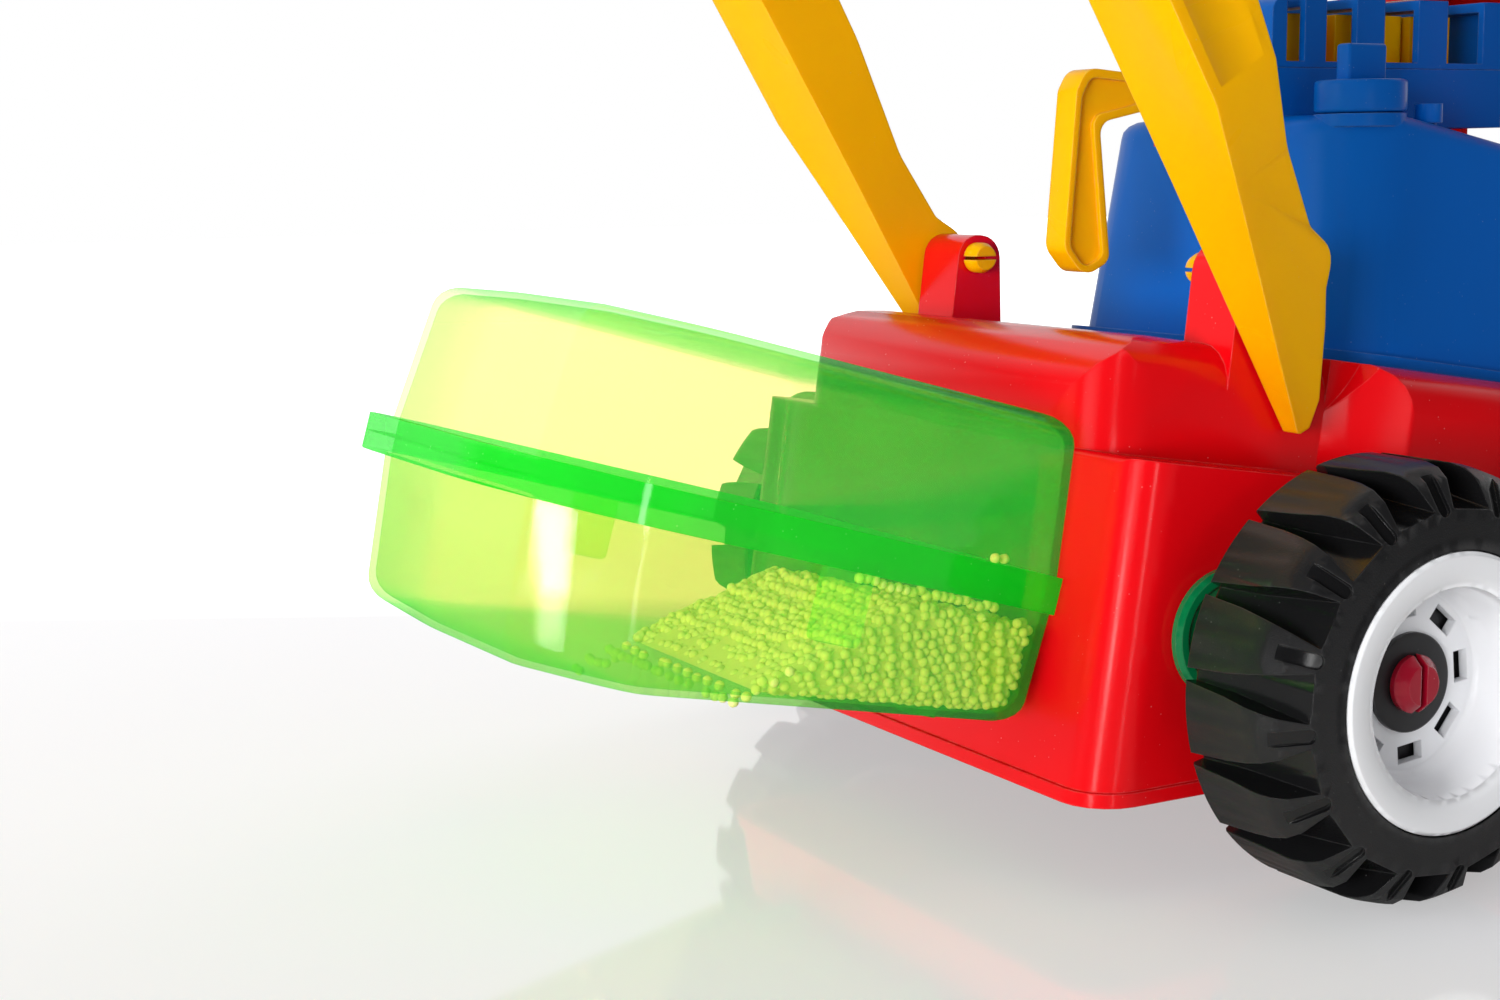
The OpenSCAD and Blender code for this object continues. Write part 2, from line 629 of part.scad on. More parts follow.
crank_pivot = [front_axle_y + 38, 220];
crank_half = 5;
crank_pin_radius = 2;
crank_outline = outline([
    [-9.3, 221.4, 5], [-13.6, 172.6, 6], [-5.6, 163.4, 6], [4.2, 168.3, 4], [-0.4, 211.4, 4.5],
    [15.4, 214.6, 8], [crank_pivot.x - front_axle_y + 3.6, 216.2, 3.4],
    [crank_pivot.x - front_axle_y + 3.6, 224.4, 3.6], [15.2, 226.4, 8], [-5.4, 228.3, 6]
], 6);
module crank_frame() translate([0, front_axle_y, 0]) children();
module crank_lever() color(yellow) crank_frame() difference() {
    between(-crank_half, crank_half) polygon(crank_outline);
    // hollow side faces with a raised rim
    mirrored() between(crank_half - 1.6, crank_half + 1) polygon(outline([
        [-7.2, 219.4, 3], [-11.3, 173.2, 4], [-5.6, 166.2, 4], [1.6, 169.6, 3], [-3, 213.4, 4],
        [14.6, 217.2, 6], [30, 218, 1], [30, 222.6, 1], [14.8, 223.8, 6], [-4, 225.4, 4]
    ], 4));
    translate([0, crank_pivot.x - front_axle_y, crank_pivot.y])
        rod(crank_pin_radius + run_fit, -crank_half - 1, crank_half + 1);
}
module lever_bracket_place() translate([-crank_half - 4 - run_fit, hood_front - 8, 204 - run_fit])
    cube([2 * (crank_half + 4 + run_fit), 16, hood_top - 204 + 12 + 2 * run_fit]);
module lever_bracket() color(red) difference() {
    union() {
        // cheeks that hold the lever's pin
        mirrored() translate([crank_half + gap, 0, 0]) between(0, 4 - gap) polygon(outline([
            [crank_pivot.x - 5.5, 204, 1], [hood_front + 7, 204, 0], [hood_front + 7, 224.4, 1],
            [crank_pivot.x - 5.5, 225.5, 3]
        ]));
        translate([-crank_half - 4, hood_front + 3, 204]) cube([2 * crank_half + 8, 4, 20.4]);
        translate([-crank_half - 4, crank_pivot.x - 5.5, 204]) cube([2 * crank_half + 8, 17, 3]);
    }
    translate([0, crank_pivot.x, crank_pivot.y]) rod(crank_pin_radius + run_fit, -20, 20);
}
module lever_pin() color(red) translate([0, crank_pivot.x, crank_pivot.y]) {
    rod(crank_pin_radius, -crank_half - 5.5, crank_half + 5.5);
    rod(3.2, crank_half + 4.1, crank_half + 6);
    rod(3.2, -crank_half - 6, -crank_half - 4.1);
}

// Arms ------------------------------------------------------------------------------------
// Drawn level with the pivot at the origin, front towards -Y.

arm_outer = arm_inner + arm_width;
arm_boss = 10.5;
forearm_boss = 11;
arm_heel_x = arm_inner + 5.5;    // outer face at the very heel
arm_flare_at = [-63, 46];        // the outer face slants between these places
arm_outline = outline(concat(
    [[arm_heel.x, arm_heel.y, 1.5], [arm_heel.x + 0.7, arm_heel.y + 4.7, 1.5]],
    [[39.5, -5.4, 3], [19.8, 3, 8], [9, 6.5, 6]],
    [[0, 12.4, 9], [-12, 6, 6], [-38, 4.4, 30], [-80, 9.8, 60], [-150, 12.4, 80], [-arm_length - 6, 13, 26]],
    [[bucket_pin_at.x - 8.4, bucket_pin_at.y + 7, 2], [bucket_pin_at.x + 8.4, bucket_pin_at.y - 7, 2]],
    [[-arm_length + 12, -16, 22], [-150, -16, 80], [-38, -15.5, 30]]
), 5);
module arm_cut(x0, wide) translate([x0, arm_flare_at.x, -150])
    rotate([0, 0, atan2(arm_outer - arm_heel_x, arm_flare_at.y - arm_flare_at.x)]) cube([wide, 200, 300]);

// One arm; pin_hole is blind so that the outside stays plain
module arm() difference() {
    union() {
        between(arm_inner, arm_outer) polygon(arm_outline);
        translate([0, bucket_pin_at.x, bucket_pin_at.y]) rod(forearm_boss, arm_inner, arm_outer);
    }
    arm_cut(arm_outer, 100);
    // shallow field in the outer face, with a rim left all round
    difference() {
        between(arm_outer - 1.2, arm_outer + 1) offset(delta = -3.6) polygon(arm_outline);
        translate([0, arm_flare_at.x - 3, -150]) cube([200, 300, 300]);
        translate([0, bucket_pin_at.x, bucket_pin_at.y]) rod(forearm_boss + 2, arm_inner, arm_outer + 5);
    }
    rod(pivot_radius + run_fit, arm_inner - 1, arm_inner + 13);
    translate([0, bucket_pin_at.x, bucket_pin_at.y]) rod(bucket_pin_radius + run_fit, 0, 200);
    translate([0, tube_at.x, tube_at.y]) rod(tube_radius - 1 + run_fit, 0, arm_inner + 8);
}
module arm_right() color(yellow) on_arm() arm();
module arm_left() color(yellow) on_arm() mirror([1, 0, 0]) arm();

// Snap pin from the inside of a post into an arm
module arm_pin() color(yellow) difference() {
    union() {
        rod(pivot_radius, deck_half - 27.6, arm_inner + 12.8);
        translate([deck_half - 27.8, 0, 0]) rotate([0, 90, 0]) rotate_extrude($fn = fine)
            polygon([[0, 0], [4, 0], [pivot_radius + 1.1, 2.4], [pivot_radius + 1.1, 6.2], [0, 6.2]]);
    }
    translate([deck_half - 30, -10, -0.6]) cube([15, 20, 1.2]);
}
module arm_pin_right() at_pivot() arm_pin();
module arm_pin_left() at_pivot() mirror([1, 0, 0]) arm_pin();

tube_radius = 6;
tube_at = arm_elbow - 0.55 * forearm_length * [cos(elbow_angle), sin(elbow_angle)];
module arm_cross_tube() color(yellow) on_arm() translate([0, tube_at.x, tube_at.y]) {
    rod(tube_radius, -arm_inner, arm_inner);
    rod(tube_radius - 1, -arm_inner - 7.6, arm_inner + 7.6);
}

// Bucket ----------------------------------------------------------------------------------

bucket_half = bucket_width / 2;
bucket_floor = -48;              // floor of the bucket under its pins
bucket_back = -forearm_boss - 1.2;   // back plate in front of its pins
cheek = 3;
lug_outer = arm_inner - gap;
bucket_pin_radius = 4;
module bucket() color(yellow) on_bucket() {
    difference() {
        across(bucket_width) polygon(bucket_outline);
        across(bucket_width - 2 * cheek) polygon(outline([
            [-40, 60, 0], [bucket_back - 3, 60, 0], [bucket_back - 3, bucket_floor + 3, 15],
            [-120, bucket_floor + 2.2, 0]
        ], 8));
    }
    mirrored() {
        difference() {
            between(lug_outer - 6.4, lug_outer) polygon(outline([
                [9, -9, 8], [9, 9, 8], [bucket_back - 1, 14, 0], [bucket_back - 1, -16, 0]
            ], 6));
            rod(bucket_pin_radius + run_fit, 0, 200);
        }
    }
    // teeth of the cutting edge
    for (i = [0:bucket_teeth - 1])
        translate([-bucket_half + cheek + (bucket_width - 2 * cheek) * (i + 0.5) / bucket_teeth, 0, 0])
            across(12) polygon([
                [-bucket_reach + 1, bucket_floor + 0.1], [-bucket_reach + 1, bucket_floor + 2.4],
                [-bucket_reach - 9, bucket_floor + 0.9], [-bucket_reach - 9, bucket_floor + 0.1]
            ]);
}
bucket_outline = outline([
    [bucket_back - 15, 31, 2], [bucket_back, 27, 2], [bucket_back, bucket_floor, 18],
    [-bucket_reach, bucket_floor, 0],
    [-bucket_reach, bucket_floor + 5, 3], [-52, -24, 12], [-34, 6, 14]
], 8);

// Snap pin through an arm into a lug of the bucket
module bucket_pin() color(yellow) {
    rod(bucket_pin_radius, lug_outer - 8.4, arm_outer + gap);
    rod(7, arm_outer + gap, arm_outer + 3.3);
    difference() {
        translate([lug_outer - 12.4, 0, 0]) rotate([0, 90, 0]) rotate_extrude($fn = fine)
            polygon([[0, 0], [4, 0], [5, 2], [5, 5.7], [0, 5.7]]);
        translate([lug_outer - 14, -10, -0.6]) cube([7, 20, 1.2]);
    }
}
module bucket_pin_right() on_bucket() bucket_pin();
module bucket_pin_left() on_bucket() mirror([1, 0, 0]) bucket_pin();

// Cab -------------------------------------------------------------------------------------

cab_back = front_axle_y + tail_reach * slope_cos - 4;
cab_half = cab_width / 2;
cab_wall = 3;
function seat_line(y) = deck_line(y, deck_rise) + run_fit;

function floor_line(y) = seat_line(y) + cab_wall;

// Side profile of the cab, drawn in by t
function cab_side(t, r) = outline([
    [cab_front + t, seat_line(cab_front + t) + t, 0],
    [cab_front + 3 + t, cab_top - t, r], [cab_back - 5 - t, cab_top - t, r],
    [cab_back - t, seat_line(cab_back - t) + t, 0]
], 4);
module cab_frame() color(red) difference() {
    union() {
        difference() {
            across(cab_width) polygon(cab_side(0, 5));
            across(cab_width - 2 * cab_wall) polygon(cab_side(cab_wall, 2));
        }
        on_deck() screw_places(cab_screws) translate([0, 0, deck_rise + run_fit]) screw_boss();
    }
    // side windows
    across(through) polygon(outline([
        [cab_front + 12, 190, 4], [cab_front + 13, cab_top - 19, 5], [cab_back - 17, cab_top - 19, 5],
        [cab_back - 14, 190, 4]
    ]));
    // front and back windows
    translate([0, (cab_front + cab_back) / 2, 0]) rotate([90, 0, 0]) linear_extrude(through, center = true)
        polygon(outline([
            [-cab_half + 11, 190, 4], [cab_half - 11, 190, 4],
            [cab_half - 11, cab_top - 19, 5], [-cab_half + 11, cab_top - 19, 5]
        ]));
    translate([-cab_half + 12, cab_front + 14, cab_top - cab_wall - 1])
        cube([cab_width - 24, cab_back - cab_front - 33, cab_wall + 2]);
    on_deck() screw_places(cab_screws) translate([0, 0, deck_rise]) screw_hole();
}
module cab_roof() color(yellow) {
    difference() {
        translate([0, 0, cab_top + run_fit]) linear_extrude(6) polygon(outline([
            [-cab_half - 5, cab_front - 6, 10], [cab_half + 5, cab_front - 6, 10],
            [cab_half + 5, cab_back + 3, 10], [-cab_half - 5, cab_back + 3, 10]
        ]));
        translate([0, 0, cab_top - 1]) linear_extrude(4.6) polygon(outline([
            [-cab_half + 6, cab_front + 8, 5], [cab_half - 6, cab_front + 8, 5],
            [cab_half - 6, cab_back - 10, 5], [-cab_half + 6, cab_back - 10, 5]
        ]));
    }
    // tongues that drop into the opening of the frame
    mirrored() translate([cab_half - 12 - 2.4, cab_front + 18, cab_top - cab_wall - 1.2])
        cube([2.2, cab_back - cab_front - 41, cab_wall + 6]);
}
seat_y = cab_back - 29.3;
module seat() color([0.15, 0.15, 0.17]) {
    across(44) polygon(outline([
        [seat_y - 10, floor_line(seat_y - 10), 0], [seat_y - 12, floor_line(seat_y) + 22, 4],
        [seat_y + 12, floor_line(seat_y) + 20, 3], [seat_y + 16, floor_line(seat_y) + 54, 3],
        [seat_y + 22, floor_line(seat_y) + 54, 3], [seat_y + 20, floor_line(seat_y + 20), 0]
    ]));
}
column_foot = [cab_front + 8, floor_line(cab_front + 8) + 6];
column_lean = 24;
module on_column() translate([0, column_foot.x, column_foot.y]) rotate([-column_lean, 0, 0]) children();
module steering_column() color([0.15, 0.15, 0.17]) {
    on_column() cylinder(r = 3, h = 44, $fn = fine);
    intersection() {
        on_column() translate([-9, -6, -12]) cube([18, 16, 16]);
        across(40) polygon([
            [cab_front + cab_wall + 0.4, floor_line(cab_front + cab_wall + 0.4)],
            [cab_front + cab_wall + 0.4, 250], [cab_front + 24, 250], [cab_front + 24, floor_line(cab_front + 24)]
        ]);
    }
}
module steering_wheel() color([0.15, 0.15, 0.17]) on_column() difference() {
    union() {
        translate([0, 0, 41]) rotate_extrude($fn = fine) translate([13, 0]) circle(r = 2, $fn = 24);
        for (i = [0:2]) rotate(120 * i - 90) translate([0, -1.5, 39.8]) cube([13, 3, 2.4]);
        translate([0, 0, 36]) cylinder(r = 5, h = 7, $fn = fine);
    }
    translate([0, 0, 30]) cylinder(r = 3 + run_fit, h = 40, $fn = fine);
}

// Nodes -----------------------------------------------------------------------------------

on_wheel(front_axle_y, -1) tyre();  // tyre_front_left
on_wheel(front_axle_y, -1) rim();  // rim_front_left
on_wheel(front_axle_y, -1) washer();  // washer_front_left
on_wheel(front_axle_y, 1) tyre();  // tyre_front_right
on_wheel(front_axle_y, 1) rim();  // rim_front_right
on_wheel(front_axle_y, 1) washer();  // washer_front_right
on_wheel(rear_axle_y, -1) tyre();  // tyre_rear_left
on_wheel(rear_axle_y, -1) rim();  // rim_rear_left
on_wheel(rear_axle_y, -1) washer();  // washer_rear_left
on_wheel(rear_axle_y, 1) tyre();  // tyre_rear_right
on_wheel(rear_axle_y, 1) rim();  // rim_rear_right
on_wheel(rear_axle_y, 1) washer();  // washer_rear_right
chassis_shell();
deck_screws();
front_axle();
rear_axle();
container_pin();
container_pin_cap();
container_bracket();
container_upper();
container_lower();
container_catches();
bead_fill();
hood();
engine_cage();
engine_block();
filler_cap();
breather_stub();
lever_bracket();
crank_lever();
lever_pin();
cab_frame();
cab_roof();
seat();
steering_column();
steering_wheel();
arm_left();
arm_right();
arm_pin_left();
arm_pin_right();
arm_cross_tube();
bucket();
bucket_pin_left();
bucket_pin_right();
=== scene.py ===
"""Looks of a toy wheel loader with a clear bead container: finishes, beads, mouldings and the studio."""
import json
import math
import random

import bpy
from mathutils import Matrix, Vector, noise
from mathutils.bvhtree import BVHTree


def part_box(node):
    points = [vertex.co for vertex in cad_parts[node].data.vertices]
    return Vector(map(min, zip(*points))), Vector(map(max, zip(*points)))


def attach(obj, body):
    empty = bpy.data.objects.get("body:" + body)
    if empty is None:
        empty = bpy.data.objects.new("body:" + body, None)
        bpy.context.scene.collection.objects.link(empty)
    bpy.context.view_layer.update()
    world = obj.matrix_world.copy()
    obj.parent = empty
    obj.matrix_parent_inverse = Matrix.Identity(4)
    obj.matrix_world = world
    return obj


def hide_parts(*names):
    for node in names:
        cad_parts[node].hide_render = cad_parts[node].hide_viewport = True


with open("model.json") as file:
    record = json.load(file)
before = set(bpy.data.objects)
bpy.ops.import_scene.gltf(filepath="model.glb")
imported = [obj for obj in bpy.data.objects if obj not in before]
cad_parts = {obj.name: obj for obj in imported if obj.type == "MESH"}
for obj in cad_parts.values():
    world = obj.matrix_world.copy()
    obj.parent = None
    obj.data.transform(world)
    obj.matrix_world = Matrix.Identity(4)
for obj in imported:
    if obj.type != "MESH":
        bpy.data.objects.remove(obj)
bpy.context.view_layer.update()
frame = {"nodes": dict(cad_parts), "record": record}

bl_info = {
    "name": "Toy Wheel Loader",
    "version": (1, 0, 0),
    "blender": (4, 5, 0),
    "location": "3D View > Sidebar > Loader",
    "description": "Finishes, beads and studio for a toy wheel loader with a clear container",
    "category": "Object",
}

MM = 0.001


# Sizes and colours ------------------------------------------------------------------------

def colour(name, text, value):
    return bpy.props.FloatVectorProperty(
        name=name, description=text, subtype="COLOR", size=3, min=0, max=1, default=value)


def length(name, text, value, low=0.0, high=1.0):
    return bpy.props.FloatProperty(
        name=name, description=text, default=value, min=low, max=high, unit="LENGTH", precision=4)


def share(name, text, value):
    return bpy.props.FloatProperty(
        name=name, description=text, default=value, min=0, max=1, subtype="FACTOR")


class LoaderColours(bpy.types.PropertyGroup):
    """Colours of the moulded pieces"""
    red: colour("Red", "Body shell, posts and cab", (0.80, 0.002, 0.006))
    yellow: colour("Yellow", "Arms, lever, bucket and roof", (1.0, 0.48, 0.0005))
    blue: colour("Blue", "Hood, cage and filler cap", (0.0, 0.115, 0.52))
    rubber: colour("Tyres", "Tyres", (0.012, 0.012, 0.013))
    white: colour("White", "Rims", (0.93, 0.94, 0.97))
    black: colour("Black", "Washers, seat and steering", (0.016, 0.016, 0.018))
    dark_red: colour("Dark red", "Axles and their snap heads", (0.43, 0.004, 0.024))
    green: colour("Green", "Container pin and bracket", (0.0, 0.20, 0.06))
    clear: colour("Clear green", "Tint of the container, by each face", (0.98, 0.815, 0.72))
    beads: colour("Beads", "Beads in the container", (0.92, 0.93, 0.33))
    steel: colour("Screws", "Screws under the deck", (0.55, 0.56, 0.58))


class LoaderSizes(bpy.types.PropertyGroup):
    """Sizes of the small detail"""
    bead: length("Bead", "Diameter of a bead", 0.0030, 0.002, 0.006)
    bead_layer: length("Bead layer", "Depth of loose beads under the skin of the heap", 0.0042, 0.003, 0.02)
    edge: length("Edge", "Rounding that the light finds on moulded edges", 0.0007, 0.0, 0.003)
    lever_edge: length("Lever edge", "Rounding of the cranked lever", 0.0022, 0.0, 0.004)
    arm_edge: length("Arm edge", "Rounding of the arms", 0.0009, 0.0, 0.002)
    arm_field: length("Arm field", "Depth of the field in the arms that is filled", 0.0012, 0.0, 0.003)
    cap_edge: length("Cap edge", "Rounding of the filler cap", 0.0012, 0.0, 0.003)
    # painted highlight: a lighter colour along the moulded edges, in patches
    edge_highlight: share("Edge wear", "Lighter colour along handled edges", 0.25)
    dust: share("Dust", "Specks of dust on the upper faces", 0.25)


# Help for nodes ---------------------------------------------------------------------------

def add(tree, kind, x, y, values=None, **settings):
    """One node at a place in its tree, with its settings and the values of its sockets."""
    n = tree.nodes.new(kind)
    n.location = (x, y)
    for key, value in settings.items():
        setattr(n, key, value)
    for key, value in (values or {}).items():
        n.inputs[key].default_value = value
    return n


def math_node(tree, operation, x, y, a, b=None, clamp=False):
    n = add(tree, "ShaderNodeMath", x, y, operation=operation, use_clamp=clamp)
    for socket, value in zip(n.inputs, (a, b)):
        if isinstance(value, (int, float)):
            socket.default_value = value
        elif value is not None:
            tree.links.new(value, socket)
    return n.outputs[0]


def ramp(tree, x, y, source, stops):
    n = add(tree, "ShaderNodeValToRGB", x, y)
    e = n.color_ramp.elements
    while len(e) < len(stops):
        e.new(0.5)
    for stop, (place, value) in zip(e, stops):
        stop.position = place
        stop.color = (value, value, value, 1)
    tree.links.new(source, n.inputs[0])
    return n.outputs[0]


def new_group(name, inputs, outputs):
    """An empty node group with named float, vector and colour sockets."""
    tree = bpy.data.node_groups.new(name, "ShaderNodeTree")
    kinds = {"v": "NodeSocketVector", "f": "NodeSocketFloat", "c": "NodeSocketColor"}
    for way, sockets in (("INPUT", inputs), ("OUTPUT", outputs)):
        for label, kind, *value in sockets:
            s = tree.interface.new_socket(name=label, in_out=way, socket_type=kinds[kind])
            if value:
                s.default_value = value[0]
    return tree, add(tree, "NodeGroupInput", -900, 0), add(tree, "NodeGroupOutput", 700, 0)


def group_moulded_skin():
    """Fine grain, slow swirls and pull marks of moulded plastic."""
    tree, a, b = new_group(
        "moulded_skin",
        [("Vector", "v"), ("Grain Scale", "f", 2200.0), ("Swirl Scale", "f", 14.0), ("Depth", "f", 0.25)],
        [("Swirl", "f"), ("Height", "f")])
    grain = add(tree, "ShaderNodeTexNoise", -600, 200, {"Detail": 3.0, "Roughness": 0.6})
    swirl = add(tree, "ShaderNodeTexNoise", -600, -100, {"Detail": 2.0, "Distortion": 1.2})
    wave = add(tree, "ShaderNodeTexNoise", -600, -350, {"Scale": 55.0, "Detail": 1.0})
    for n, scale in ((grain, "Grain Scale"), (swirl, "Swirl Scale")):
        tree.links.new(a.outputs["Vector"], n.inputs["Vector"])
        tree.links.new(a.outputs[scale], n.inputs["Scale"])
    tree.links.new(a.outputs["Vector"], wave.inputs["Vector"])
    slow = ramp(tree, -300, -100, swirl.outputs["Fac"], [(0.35, 0.0), (0.68, 1.0)])
    tree.links.new(slow, b.inputs["Swirl"])
    fine = math_node(tree, "MULTIPLY", -300, 200, grain.outputs["Fac"], a.outputs["Depth"])
    tree.links.new(math_node(tree, "ADD", 0, 200, fine, wave.outputs["Fac"]), b.inputs["Height"])
    return tree


def group_dust():
    """Sparse small specks that gather on faces that look up."""
    tree, a, b = new_group("dust_specks", [("Vector", "v"), ("Amount", "f", 0.25)], [("Mask", "f")])
    cells = add(tree, "ShaderNodeTexVoronoi", -600, 100, {"Scale": 420.0, "Randomness": 1.0})
    patches = add(tree, "ShaderNodeTexNoise", -600, -200, {"Scale": 60.0, "Detail": 4.0})
    for n in (cells, patches):
        tree.links.new(a.outputs["Vector"], n.inputs["Vector"])
    speck = ramp(tree, -350, 100, cells.outputs["Distance"], [(0.05, 1.0), (0.11, 0.0)])
    where = ramp(tree, -350, -200, patches.outputs["Fac"], [(0.52, 0.0), (0.66, 1.0)])
    both = math_node(tree, "MULTIPLY", -50, 0, speck, where)
    facing = add(tree, "ShaderNodeNewGeometry", -350, -450)
    split = add(tree, "ShaderNodeSeparateXYZ", -150, -450)
    tree.links.new(facing.outputs["Normal"], split.inputs[0])
    up = math_node(tree, "MULTIPLY_ADD", 50, -400, split.outputs["Z"], 0.5, clamp=True)
    up.node.inputs[2].default_value = 0.55
    amount = math_node(tree, "MULTIPLY", 300, 0, both, a.outputs["Amount"])
    tree.links.new(math_node(tree, "MULTIPLY", 500, 0, amount, up), b.inputs["Mask"])
    return tree


def group_edge_highlight():
    """Mask of a painted highlight along the edges, broken into patches: where the softened normal leans off
    the true one.
    """
    tree, a, b = new_group(
        "edge_highlight", [("Vector", "v"), ("Soft Normal", "v"), ("Amount", "f", 0.25)], [("Mask", "f")])
    facing = add(tree, "ShaderNodeNewGeometry", -600, 300)
    lean = add(tree, "ShaderNodeVectorMath", -400, 200, operation="DOT_PRODUCT")
    tree.links.new(facing.outputs["True Normal"], lean.inputs[0])
    tree.links.new(a.outputs["Soft Normal"], lean.inputs[1])
    breaks = add(tree, "ShaderNodeTexNoise", -600, -150, {"Scale": 240.0, "Detail": 5.0})
    tree.links.new(a.outputs["Vector"], breaks.inputs["Vector"])
    edge = ramp(tree, -200, 200, lean.outputs["Value"], [(0.80, 1.0), (0.97, 0.0)])
    patchy_highlight = ramp(tree, -350, -150, breaks.outputs["Fac"], [(0.42, 0.3), (0.62, 1.0)])
    both = math_node(tree, "MULTIPLY", 100, 0, edge, patchy_highlight)
    tree.links.new(math_node(tree, "MULTIPLY", 300, 0, both, a.outputs["Amount"]), b.inputs["Mask"])
    return tree


def shared(name):
    makers = {"moulded_skin": group_moulded_skin, "dust_specks": group_dust, "edge_highlight": group_edge_highlight}
    return bpy.data.node_groups.get(name) or makers[name]()


def place_group(tree, name, x, y, vector, values):
    n = add(tree, "ShaderNodeGroup", x, y, node_tree=shared(name))
    tree.links.new(vector, n.inputs["Vector"])
    for key, value in values.items():
        n.inputs[key].default_value = value
    return n


def mix_colour(tree, x, y, mask, first, second):
    n = add(tree, "ShaderNodeMix", x, y, data_type="RGBA")
    for socket, value in ((n.inputs[0], mask), (n.inputs[6], first), (n.inputs[7], second)):
        if isinstance(value, tuple):
            socket.default_value = (*value[:3], 1)
        elif isinstance(value, (int, float)):
            socket.default_value = value
        else:
            tree.links.new(value, socket)
    return n.outputs[2]


def lighter(c, t):
    return tuple(v + (1 - v) * t for v in c)


def darker(c, t):
    return tuple(v * (1 - t) for v in c)


def blank_material(name):
    m = bpy.data.materials.new(name)
    m.use_nodes = True
    m.node_tree.nodes.clear()
    return m, m.node_tree


def moulded(name, base, rough=0.22, coat=0.0, grain=0.25, bump=0.06, swirl=0.12, edge=None, sheen=None,
            dust=None, glow=0.0, specular=0.5, grain_scale=2200.0, through=1.0):
    """Moulded plastic: swirled colour, fine grain, softened edges, a painted highlight along the edges, and
    dust.
    Where it is seen through the clear container, its colour is darkened to the share through: painted
    shade."""
    sizes = bpy.context.scene.loader_sizes
    edge = sizes.edge if edge is None else edge
    sheen = sizes.edge_highlight if sheen is None else sheen
    dust = sizes.dust if dust is None else dust
    m, t = blank_material(name)
    place = add(t, "ShaderNodeTexCoord", -1500, 0).outputs["Object"]
    skin = place_group(t, "moulded_skin", -1200, 200, place, {"Depth": grain, "Grain Scale": grain_scale})
    soft = add(t, "ShaderNodeBevel", -1500, -500, {"Radius": edge}, samples=6)
    patchy_highlight = place_group(t, "edge_highlight", -1200, -100, place, {"Amount": sheen})
    t.links.new(soft.outputs[0], patchy_highlight.inputs["Soft Normal"])
    specks = place_group(t, "dust_specks", -1200, -350, place, {"Amount": dust})
    body = mix_colour(t, -900, 200, skin.outputs["Swirl"], tuple(base), darker(base, swirl))
    # painted highlight: the edges are lightened towards white
    body = mix_colour(t, -700, 100, patchy_highlight.outputs["Mask"], body, lighter(base, 0.35))
    body = mix_colour(t, -500, 0, specks.outputs["Mask"], body, (0.75, 0.74, 0.72))
    # painted shade: where the ray has crossed the clear walls, the colour is darkened to the share through
    if through < 1:
        crossed = add(t, "ShaderNodeLightPath", -700, 500).outputs["Transparent Depth"]
        shade_behind_walls = math_node(t, "GREATER_THAN", -500, 300, crossed, 0.5)
        body = mix_colour(t, -300, 200, shade_behind_walls, body, darker(base, 1 - through))
    gloss = math_node(t, "MULTIPLY_ADD", -700, -250, skin.outputs["Swirl"], 0.08)
    gloss.node.inputs[2].default_value = rough
    gloss = math_node(t, "ADD", -500, -250, gloss, specks.outputs["Mask"], clamp=True)
    relief = add(t, "ShaderNodeBump", -250, -450, {"Strength": bump, "Distance": 0.0006})
    t.links.new(skin.outputs["Height"], relief.inputs["Height"])
    t.links.new(soft.outputs[0], relief.inputs["Normal"])
    shader = add(t, "ShaderNodeBsdfPrincipled", 0, 0, {
        "IOR": 1.5, "Specular IOR Level": specular, "Coat Weight": coat, "Coat Roughness": 0.06})
    if glow:
        shader.inputs["Subsurface Weight"].default_value = glow
        shader.inputs["Subsurface Radius"].default_value = (0.004, 0.003, 0.002)
        shader.inputs["Subsurface Scale"].default_value = 0.8
    t.links.new(body, shader.inputs["Base Color"])
    t.links.new(gloss, shader.inputs["Roughness"])
    t.links.new(relief.outputs[0], shader.inputs["Normal"])
    t.links.new(shader.outputs[0], add(t, "ShaderNodeOutputMaterial", 300, 0).inputs[0])
    return m


SHADOW_TINT = (0.93, 0.97, 0.90)                    # what each face of a clear piece takes from its shadow


